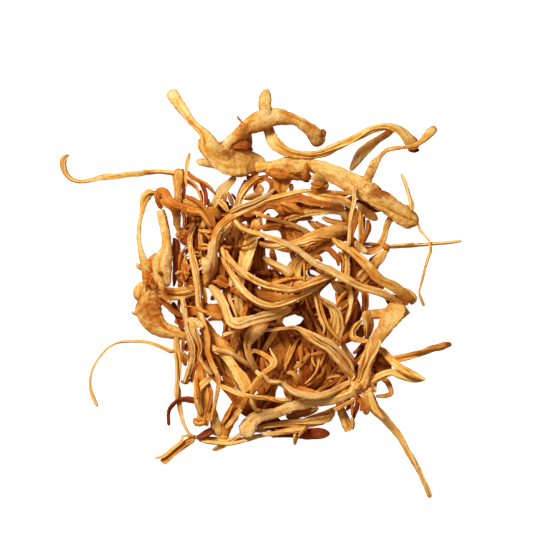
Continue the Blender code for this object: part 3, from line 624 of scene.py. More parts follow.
# %% Build the tree
def skin_tree():
    """Line with widths in, wrinkled skin out."""
    tree = bpy.data.node_groups.new("dried_skin", "GeometryNodeTree")
    tree.interface.new_socket("Geometry", in_out="INPUT", socket_type="NodeSocketGeometry")
    for name, value in TREE_SIZES.items():
        kind = "NodeSocketInt" if name == "Sides" else "NodeSocketFloat"
        tree.interface.new_socket(name, in_out="INPUT", socket_type=kind).default_value = value
    tree.interface.new_socket("Skin", in_out="INPUT", socket_type="NodeSocketMaterial")
    tree.interface.new_socket("Geometry", in_out="OUTPUT", socket_type="NodeSocketGeometry")
    given = tree.nodes.new("NodeGroupInput").outputs
    finished = tree.nodes.new("NodeGroupOutput")
    sums = sums_in(tree)
    vector = partial(join_vector, tree)

    def note(name, kind="FLOAT"):
        """Read one of the notes that the line's points carry."""
        return add_node(tree, "GeometryNodeInputNamedAttribute", {"Name": name}, data_type=kind).outputs[0]

    def leave_note(geometry, name, value, kind="FLOAT"):
        """Write a note on each point."""
        return add_node(tree, "GeometryNodeStoreNamedAttribute",
                        {"Geometry": geometry, "Name": name, "Value": value}, data_type=kind,
                        domain="POINT").outputs[0]

    # the line: remember its middle, its direction and how far along it we are
    line = add_node(tree, "GeometryNodeMeshToCurve", {"Mesh": given["Geometry"]}).outputs[0]
    here = tree.nodes.new("GeometryNodeInputPosition").outputs[0]
    direction = tree.nodes.new("GeometryNodeInputTangent").outputs[0]
    travelled = tree.nodes.new("GeometryNodeSplineParameter").outputs["Length"]
    line = leave_note(line, "middle", here, "FLOAT_VECTOR")
    line = leave_note(line, "direction", direction, "FLOAT_VECTOR")
    line = leave_note(line, "travelled", travelled)
    ring = add_node(tree, "GeometryNodeCurvePrimitiveCircle", {"Resolution": given["Sides"],
                                                               "Radius": 0.5 * MM}).outputs[0]
    share = tree.nodes.new("GeometryNodeSplineParameter").outputs["Factor"]
    ring = leave_note(ring, "turn", sums.times(share, 2 * math.pi))
    swept = add_node(tree, "GeometryNodeCurveToMesh", {"Curve": line, "Profile Curve": ring,
                                                       "Fill Caps": True}).outputs[0]

    # the frame of each section: sideways and upward
    direction = note("direction", "FLOAT_VECTOR")
    upward = note("upward", "FLOAT_VECTOR")
    sideways = vector_step(tree, "NORMALIZE", vector_step(tree, "CROSS_PRODUCT", upward, direction))
    upward = vector_step(tree, "CROSS_PRODUCT", direction, sideways)
    turn = note("turn")
    way = note("travelled")
    shift = sums.times_plus(note("seed"), 7.31, given["Seed"])
    slowly = noise(tree, vector(0.0, 0.0, sums.times_plus(way, WANDER_RUN, shift)), 1.0, 1.0)
    wander = sums.times(sums.minus(slowly, 0.5), given["Wander"])
    twisting = sums.times_plus(way, sums.times(given["Twist"], note("twist")), wander)
    lopsided = sums.times(sums.sine(sums.plus(turn, shift)), LOPSIDED)
    turned = sums.plus(turn, sums.plus(twisting, lopsided))
    cosine = sums.cosine(turned)
    sine = sums.sine(turned)

    # flutes: sharp ribs with hollows between them, each hollow as deep as the noise says
    rib_side = sums.positive(sums.sine(sums.times(turn, sums.times(note("flutes"), 0.5))))
    ring_x = sums.cosine(turn)
    ring_y = sums.sine(turn)
    uneven = noise(tree, vector(sums.times(ring_x, 1.3), sums.times(ring_y, 1.3),
                                sums.times_plus(way, FLUTE_RUN, shift)), 1.0, 1.0)
    uneven = add_node(tree, "ShaderNodeMapRange", {"Value": uneven, "From Min": 0.35,
                                                   "From Max": 0.65}).outputs[0]
    flute_depth = sums.times(given["Flute depth"], note("flute"))
    hollow = sums.times(sums.minus(FLUTE_MIDDLE, rib_side),
                        sums.times(sums.times_plus(uneven, 1.4, 0.3), flute_depth))

    # furrows: noise on a cylinder that is stretched along the strand
    lobes = sums.times(given["Furrows"], note("lobes"))
    around = vector(sums.times(ring_x, lobes), sums.times(ring_y, lobes),
                    sums.times_plus(way, given["Furrow run"], shift))
    rough = noise(tree, around, 1.0, 2.5, 0.55)
    valley = sums.positive(sums.times(sums.minus(rough, 0.5), FURROW_SHARPNESS))
    valley = sums.smaller(valley, 1.0)
    furrow = sums.times(sums.minus(valley, FURROW_MIDDLE), sums.times(given["Furrow depth"], note("furrow")))

    # crosswise wrinkles, and the slow swelling and shrinking of every dried strand
    crosswise = vector(sums.times(cosine, 1.1), sums.times(sine, 1.1),
                       sums.times_plus(way, given["Wrinkle pitch"], shift))
    wrinkle = sums.minus(noise(tree, crosswise, 1.0, 1.0, 0.5), 0.5)
    wrinkle = sums.times(wrinkle, sums.times(given["Wrinkle depth"], note("club")))
    swelling = vector(sums.times(cosine, 0.5), sums.times(sine, 0.5),
                      sums.times_plus(way, SWELLING_RUN, shift))
    swelling = sums.times(sums.minus(noise(tree, swelling, 1.0, 2.0), 0.5), SWELLING)
    size = sums.plus(sums.plus(furrow, 1.03), sums.plus(wrinkle, swelling))
    size = sums.plus(size, hollow)

    # the corner's place: out to its side, cupped upwards if the strand is a leaf
    half_width = sums.times(note("width"), 0.5)
    half_thick = sums.times(note("thickness"), 0.5)
    out_side = sums.times(sums.times(cosine, half_width), size)
    out_up = sums.times(sums.times(sine, half_thick), size)
    cup = sums.times(sums.times(note("cup"), half_width), sums.minus(sums.times(cosine, cosine), 0.4))
    out_up = sums.plus(out_up, cup)
    offset = vector_step(tree, "ADD", scaled(tree, sideways, out_side), scaled(tree, upward, out_up))
    place = vector_step(tree, "ADD", note("middle", "FLOAT_VECTOR"), offset)

    # grain: small pimples, in metres, on thick clubs
    pimple = sums.minus(noise(tree, place, GRAIN_SCALE, 1.0, 0.5), 0.5)
    pimple = sums.times(pimple, sums.times(given["Grain depth"], note("club")))
    outwards = vector_step(tree, "NORMALIZE", offset)
    place = vector_step(tree, "ADD", place, scaled(tree, outwards, pimple))
    skin = add_node(tree, "GeometryNodeSetPosition", {"Geometry": swept, "Position": place}).outputs[0]

    # notes for the finish; the others are wiped off
    unrolled = vector(sums.times(cosine, half_width), sums.times(sine, half_width),
                      sums.times_plus(note("seed"), 0.137, way))
    skin = leave_note(skin, "unrolled", unrolled, "FLOAT_VECTOR")
    # the ridge note makes the finish paler on ribs and darker in furrows and deep hollows, partly painted
    # highlight and painted shade
    deepest = sums.times(sums.power(rib_side, RIB_SHARPNESS), uneven)
    rib = sums.times(sums.minus(1.0, deepest), 0.55)
    skin = leave_note(skin, "ridge", sums.times_plus(valley, 0.5, rib))
    for name in SPENT_NOTES:
        skin = add_node(tree, "GeometryNodeRemoveAttribute", {"Geometry": skin, "Name": name}).outputs[0]

    # smooth shading with sharp creases, and the finish
    skin = add_node(tree, "GeometryNodeSetShadeSmooth", {"Geometry": skin}).outputs[0]
    angle = tree.nodes.new("GeometryNodeInputMeshEdgeAngle").outputs[0]
    crease = sums.above(angle, given["Crease angle"])
    skin = add_node(tree, "GeometryNodeSetShadeSmooth", {"Geometry": skin, "Selection": crease,
                                                         "Shade Smooth": False}, domain="EDGE").outputs[0]
    skin = add_node(tree, "GeometryNodeRealizeInstances", {"Geometry": skin}).outputs[0]
    skin = add_node(tree, "GeometryNodeSetMaterial", {"Geometry": skin, "Material": given["Skin"]}).outputs[0]
    tree.links.new(skin, finished.inputs[0])
    return tree


dried_skin = skin_tree()
print("tree with", len(dried_skin.nodes), "nodes")

# %% [markdown]
# ## Growing the pieces
# A piece is one mesh made of one or more lines. Each line carries its seed and its looks to the
# tree: how deep and how many its furrows are, how club-like its surface is, how it twists, and
# whether its sides curl up. Every tree result is turned into a plain mesh before it is used.

# %% Turn lines into a mesh of bare edges
LOOKS = {
    # furrow depth, furrows around, ribs around, rib depth, club grain, twist, cup
    "thread": (0.8, 0.85, 3, 0.8, 0.4, 0.8, 0.0),
    "strand": (1.2, 1.0, 4, 0.9, 0.6, 0.5, 0.0),
    "ribbed": (1.0, 1.5, 5, 0.8, 0.6, 0.2, 0.0),
    "club": (0.35, 1.0, 3, 0.25, 1.0, 0.1, 0.0),
    "leaf": (0.9, 1.6, 5, 0.5, 0.8, 0.1, 0.25),
}
FLAT_LOOKS = ("leaf", "club")
FLAT_ROLL = 0.25
ROUND_ROLL = 0.5
FULL_TURN = 6.3
KINK_PITCHES = (5.5, 2.6)
roll_wave = random.Random(5)


def rolled_upward(line, most):
    """For each point the direction that is up for its section, rolling slowly along the strand."""
    way = np.gradient(line[:, :3], axis=0)
    way /= np.linalg.norm(way, axis=1)[:, None]
    upright = np.array([0, 0, 1.0]) - way * way[:, 2:3]
    upright /= np.maximum(np.linalg.norm(upright, axis=1), 0.05)[:, None]
    sideways = np.cross(way, upright)
    travelled = np.arange(len(line)) * STEP
    roll = most * np.sin(travelled / (roll_wave.uniform(4, 8) * MM) + roll_wave.uniform(0, FULL_TURN))
    return upright * np.cos(roll)[:, None] + sideways * np.sin(roll)[:, None]


def wobbled(line, size):
    """Small natural kinks in the centre line."""
    travelled = np.arange(len(line)) * STEP
    line = line.copy()
    for axis in range(3):
        for pitch in KINK_PITCHES:
            run = pitch * roll_wave.uniform(0.25, 0.4) * MM
            wave = np.sin(travelled / run + roll_wave.uniform(0, FULL_TURN))
            line[:, axis] += wave * size * pitch / KINK_PITCHES[0] * roll_wave.uniform(0.4, 1.0)
    return line


def line_mesh(name, lines):
    """A mesh of bare edges, with the notes that the tree reads on its points."""
    mesh = bpy.data.meshes.new(name)
    places, edges, notes, upwards = [], [], [], []
    for line, look, tone, seed in lines:
        first = len(places)
        places += [tuple(point) for point in line[:, :3]]
        edges += [(first + k, first + k + 1) for k in range(len(line) - 1)]
        notes += [(width, thick, seed, *LOOKS[look], tone) for width, thick in line[:, 3:5]]
        upwards.append(rolled_upward(line, FLAT_ROLL if look in FLAT_LOOKS else ROUND_ROLL))
    mesh.from_pydata(places, edges, [])
    for column, note_name in enumerate(LINE_NOTES):
        layer = mesh.attributes.new(note_name, "FLOAT", "POINT")
        layer.data.foreach_set("value", np.array(notes, dtype=np.float32)[:, column].copy())
    layer = mesh.attributes.new("upward", "FLOAT_VECTOR", "POINT")
    layer.data.foreach_set("vector", np.vstack(upwards).astype(np.float32).ravel())
    return mesh


print(len(LOOKS), "surfaces:", ", ".join(LOOKS))

# %% [markdown]
# ## Painted shade and stains
# No two parts of a dried clump have the same colour. Skin that faces sideways or down is painted in shade,
# strands inside the clump are painted in shade too, and here and there a patch is redder or paler than the
# rest.
# The first two follow from the shape and are measured on the mesh. The patches are placed on tips,
# ends, joints and a few whole strands. All three are left as notes on the mesh, for the finish to read.

# %% Redder and paler patches
# Redder (strength above 0) and paler (below 0): across, down, reach across, reach down, strength
STAINS = """
228,153,11,6,.9 243,130,8,8,.8 171,91,9,9,-.9 184,112,8,12,-.5 228,141,9,7,-.8 381,192,12,6,1.1
286,167,16,7,.4 369,173,7,10,.5 437,128,3,4,.4 413,143,7,5,.25 390,132,8,3,.6 362,131,14,5,-.6
319,141,7,5,.4 322,132,3,5,.6 270,115,14,10,-.6 152,308,15,18,.8 168,292,7,7,.8 148,272,6,12,.4
411,301,5,6,.5 264,98,7,8,.2 408,470,16,26,-.3 357,160,8,9,-.6 385,135,7,4,.5 150,175,12,6,.3
250,437,14,6,-.8 210,258,6,20,-.9 165,262,7,20,-.4 396,299,8,5,.7 308,153,24,5,.3 449,344,4,4,1.1
"""
stains = [[float(number) for number in spot.split(",")] for spot in STAINS.split()]
print(len(stains), "stains")


# %% Leave painted shade and stains on a mesh
def note_painted_shade_and_stains(mesh):
    """Note for each corner: how far inside the clump it is, for painted shade there; how much it faces up,
    for painted shade on the sides; and how stained it is.
    """
    places = np.empty(len(mesh.vertices) * 3)
    mesh.vertices.foreach_get("co", places)
    places = places.reshape(-1, 3)
    down, across = squares(places[:, 0], places[:, 1])
    # painted shade inside the clump: the deeper under the smoothed upper side, the darker
    inside = np.clip((upper_side[down, across] - places[:, 2] - PAINTED_SHADE_START) / PAINTED_SHADE_DEPTH, 0, 1)
    inside *= crowded[down, across]
    facing = np.empty(len(mesh.vertices) * 3)
    mesh.vertex_normals.foreach_get("vector", facing)
    # painted shade: skin that faces sideways or down is painted darker, skin that faces up keeps its colour
    painted_top_light = np.clip(facing[2::3] * 1.3 - 0.15, 0, 1)
    stained = 0 * inside
    for spot_across, spot_down, wide, tall, strength in stains:
        x, y = on_table(spot_across, spot_down)
        away = ((places[:, 0] - x) / wide) ** 2 + ((places[:, 1] - y) / tall) ** 2
        stained += strength * np.exp(-away / GRID ** 2)
    for label, values in (("inside", inside), ("painted_top_light", painted_top_light), ("stained", stained)):
        mesh.attributes.new(label, "FLOAT", "POINT").data.foreach_set("value", values.astype(np.float32))


print("weather is noted as inside, bleached and stained")


# %% Grow a skin
def socket_named(tree, name):
    """The identifier of a tree's input, which is what a modifier wants."""
    return next(item.identifier for item in tree.interface.items_tree
                if item.name == name and item.in_out == "INPUT")


def grow_skin(name, lines, finish, sides):
    """Grow the skin over the lines and return it as one plain mesh object."""
    seedling = put_in_scene(name, line_mesh(name, lines))
    modifier = seedling.modifiers.new("skin", "NODES")
    modifier.node_group = dried_skin
    modifier[socket_named(dried_skin, "Sides")] = sides
    modifier[socket_named(dried_skin, "Skin")] = finish
    settled = seedling.evaluated_get(bpy.context.evaluated_depsgraph_get())
    skin = bpy.data.meshes.new_from_object(settled)
    bpy.data.objects.remove(seedling)
    skin.name = name
    note_painted_shade_and_stains(skin)
    return put_in_scene(name, skin)


print("ready to grow")

# %% [markdown]
# ## The dried finish
# Dried cordyceps is golden orange. Its raised ribs are paler and its furrows a deep orange to red
# brown, partly the dried skin's own colour and partly painted highlight and painted shade; fine
# streaks run lengthwise, and thick clubs are speckled with darker pimples. All of that comes from
# noise on the unrolled skin or on the piece itself, and from the notes on the mesh. Skin that
# faces sideways or down, and strands inside the clump, get painted shade in a deeper red brown.
# A fine bump carries the streaks below the mesh's size.

# %% Helpers for colours
def mix_colours(tree, share, first, second):
    """Mix two colours; each may be a colour or a socket."""
    node = tree.nodes.new("ShaderNodeMix")
    node.data_type = "RGBA"
    usable = {socket.name: socket for socket in node.inputs if socket.enabled}
    for name, value in (("Factor", share), ("A", first), ("B", second)):
        if isinstance(value, bpy.types.NodeSocket):
            tree.links.new(value, usable[name])
        else:
            usable[name].default_value = value if name == "Factor" else (*value, 1.0)
    return next(socket for socket in node.outputs if socket.enabled)


def stretched(tree, place, x, y, z):
    """A vector with its parts scaled."""
    return vector_step(tree, "MULTIPLY", place, (x, y, z))


def steps(tree, value, low, high):
    """0 below low, 1 above high, smooth between."""
    return add_node(tree, "ShaderNodeMapRange", {"Value": value, "From Min": low, "From Max": high},
                    interpolation_type="SMOOTHSTEP").outputs[0]


print("a mix, a stretch and a smooth step")

# %% Noise scales and tints
# Scales are in steps of noise for each metre, across the skin, around it and along it
STREAK_SCALE = (3000, 3000, 130)
BROAD_SCALE = (800, 800, 70)
BLOTCH_SCALE = 230.0
GRAIN_NOISE = 2400.0
MOTTLE_SCALE = 800.0
STAIN_TINT = (0.52, 0.34, 0.21)
FADED = (0.84, 0.63, 0.31)
# painted shade on skin that faces sideways or down
PAINTED_SIDE_SHADE = (0.80, 0.56, 0.28)
# painted shade inside the clump
PAINTED_INSIDE_SHADE = (0.46, 0.22, 0.10)
BUMP_HEIGHT = 0.12 * MM
BUMP_STRENGTH = 0.9
SHEEN = 0.15
# rib colours are partly painted highlight and furrow colours partly painted shade, besides the dried skin's
# own colour
COLOURS = {
    # ribs, body, furrows, blotches
    "pale": ((0.80, 0.55, 0.23), (0.75, 0.44, 0.12), (0.36, 0.09, 0.010), (0.58, 0.24, 0.033)),
    "gold": ((0.80, 0.53, 0.19), (0.73, 0.39, 0.080), (0.33, 0.075, 0.006), (0.55, 0.19, 0.018)),
    "amber": ((0.72, 0.38, 0.09), (0.60, 0.24, 0.032), (0.27, 0.045, 0.004), (0.45, 0.11, 0.010)),
    "brown": ((0.56, 0.25, 0.05), (0.40, 0.13, 0.018), (0.17, 0.028, 0.003), (0.28, 0.06, 0.007)),
    "russet": ((0.27, 0.065, 0.012), (0.16, 0.027, 0.005), (0.09, 0.012, 0.002), (0.15, 0.022, 0.003)),
}
print(len(COLOURS), "sets of colours")


# %% Build the finishes
def dried_finish(name, ridge, body, furrow, blotch):
    """A finish from its four colours."""
    finish = bpy.data.materials.new(name)
    finish.use_nodes = True
    tree = finish.node_tree
    shader = tree.nodes["Principled BSDF"].inputs
    sums = sums_in(tree)
    mix = partial(mix_colours, tree)
    between = partial(steps, tree)
    tinted = partial(vector_step, tree, "MULTIPLY")

    def note(label, output="Fac"):
        """Read a note that the mesh carries."""
        return add_node(tree, "ShaderNodeAttribute", attribute_name=label).outputs[output]

    unrolled = note("unrolled", "Vector")
    depth = note("ridge")
    club = note("club")
    place = tree.nodes.new("ShaderNodeTexCoord").outputs["Object"]
    streak = noise(tree, stretched(tree, unrolled, *STREAK_SCALE), 1.0, 3.0, 0.6)
    broad = noise(tree, stretched(tree, unrolled, *BROAD_SCALE), 1.0, 2.0, 0.5)
    blotches = noise(tree, place, BLOTCH_SCALE, 3.0, 0.55)
    grain = noise(tree, place, GRAIN_NOISE, 2.0, 0.6)
    mottle = noise(tree, place, MOTTLE_SCALE, 4.0, 0.65)

    # paler ribs on the body colour, partly painted highlight, then broad orange blotches
    lift = sums.times_plus(broad, 0.8, depth)
    colour = mix(between(lift, 0.70, 1.05), body, ridge)
    orange = between(sums.plus(blotches, sums.times(note("tone"), 0.12)), 0.50, 0.74)
    colour = mix(sums.times(orange, 0.6), colour, blotch)

    # dark furrows, partly painted shade in the creases, and fine dark streaks
    sunk = between(sums.times_plus(streak, -0.5, sums.minus(1.0, depth)), 0.42, 0.66)
    colour = mix(sums.times(sunk, 0.85), colour, furrow)
    colour = mix(sums.times(between(streak, 0.57, 0.68), 0.5), colour, furrow)

    # specks, in patches, mostly on clubs
    specks = sums.times(between(grain, 0.50, 0.62), sums.times_plus(club, 0.65, 0.2))
    patches = sums.times_plus(between(mottle, 0.44, 0.6), 0.75, 0.25)
    colour = mix(sums.times(specks, patches), colour, blotch)

    # redder and paler patches, then painted shade on the sides and undersides, and painted shade inside the
    # clump
    stain = sums.times_plus(mottle, 1.6, sums.minus(note("stained"), 0.8))
    colour = mix(between(stain, 0.0, 0.9), colour, tinted(colour, STAIN_TINT))
    colour = mix(sums.times(between(stain, -0.1, -0.9), 0.7), colour, FADED)
    # painted shade on the sides and undersides, by which way the skin faces
    colour = mix(note("painted_top_light"), tinted(colour, PAINTED_SIDE_SHADE), colour)
    # painted shade: strands inside the clump are darker and redder
    colour = mix(note("inside"), colour, tinted(colour, PAINTED_INSIDE_SHADE))
    tree.links.new(colour, shader["Base Color"])

    # streaks and grain stand up a little, and are rougher
    relief = sums.times_plus(grain, sums.times_plus(club, 0.9, 0.25), streak)
    bump = add_node(tree, "ShaderNodeBump", {"Height": relief, "Distance": BUMP_HEIGHT,
                                             "Strength": BUMP_STRENGTH})
    tree.links.new(bump.outputs[0], shader["Normal"])
    tree.links.new(sums.times_plus(streak, 0.25, 0.42), shader["Roughness"])
    shader["Specular IOR Level"].default_value = SHEEN
    return finish


FINISHES = {name: dried_finish("dried_" + name, *colours) for name, colours in COLOURS.items()}
print(len(FINISHES), "finishes")

# %% [markdown]
# ## The sixty strands
# Each packed strand gets its own skin, with the surface that its part of the clump shows.

# %% Surfaces and tones
SURFACE = {
    "club": "gall_club broad_body club_plate club_right arch arch_horn folded_leaf base_knot bottom_log "
            "knob_left dark_red_club thick_left_arm cut_stem",
    "ribbed": "ribbed_club stem_a bean_leaf long_bow trunk arm_right lower_left_leaf sweeper",
    "leaf": "bed_leaf fan_leaf broad_leaf pale_leaf_ul spear_leaf lower_band",
    "thread": "hanging_loop thin_arc_left thin_horizontal tail_right thin_upright_right long_tail_low_right "
              "s_strand spike_upper spike_lower twig_right outer_left_arc dark_curl",
}
surface_of = {name: look for look, names in SURFACE.items() for name in names.split()}
# More orange above 0, paler below
TONES = {"gall_club": 0.8, "arm_right": 0.3, "knob_left": 1.6, "folded_band": 1.2, "spike_lower": 0.5,
         "trunk": -1.5, "long_tail_low_right": -1.5, "arch_horn": -1.5, "bottom_log": -1.5, "lower_arc": -1.5}
tone_of = random.Random(17)
print(len(surface_of), "strands have a surface of their own")

# %% Grow the sixty strands
SIDES_BY_WIDTH = ((1.6 * MM, 16), (2.6 * MM, 20), (1.0, 32))  # corners of the ring up to each width
STRAND_KINKS = 0.05 * MM
SEED_STEP = 1.7
pieces = []
for number, (node_name, rows) in enumerate(strands.items()):
    look = surface_of.get(node_name, "strand")
    line = round_ends(wobbled(smooth_line(rows), STRAND_KINKS), rounded[node_name])
    finish = FINISHES[slot_of[node_name]]
    tone = TONES.get(node_name, tone_of.uniform(-1, 1))
    sides = next(corners for width, corners in SIDES_BY_WIDTH if line[:, 3].max() < width)
    piece = grow_skin("skin_" + node_name, [(line, look, tone, number * SEED_STEP)], finish, sides)
    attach(piece, "root")
    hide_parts(node_name)
    pieces.append(piece)
print(len(pieces), "skins,", sum(len(piece.data.polygons) for piece in pieces), "faces")
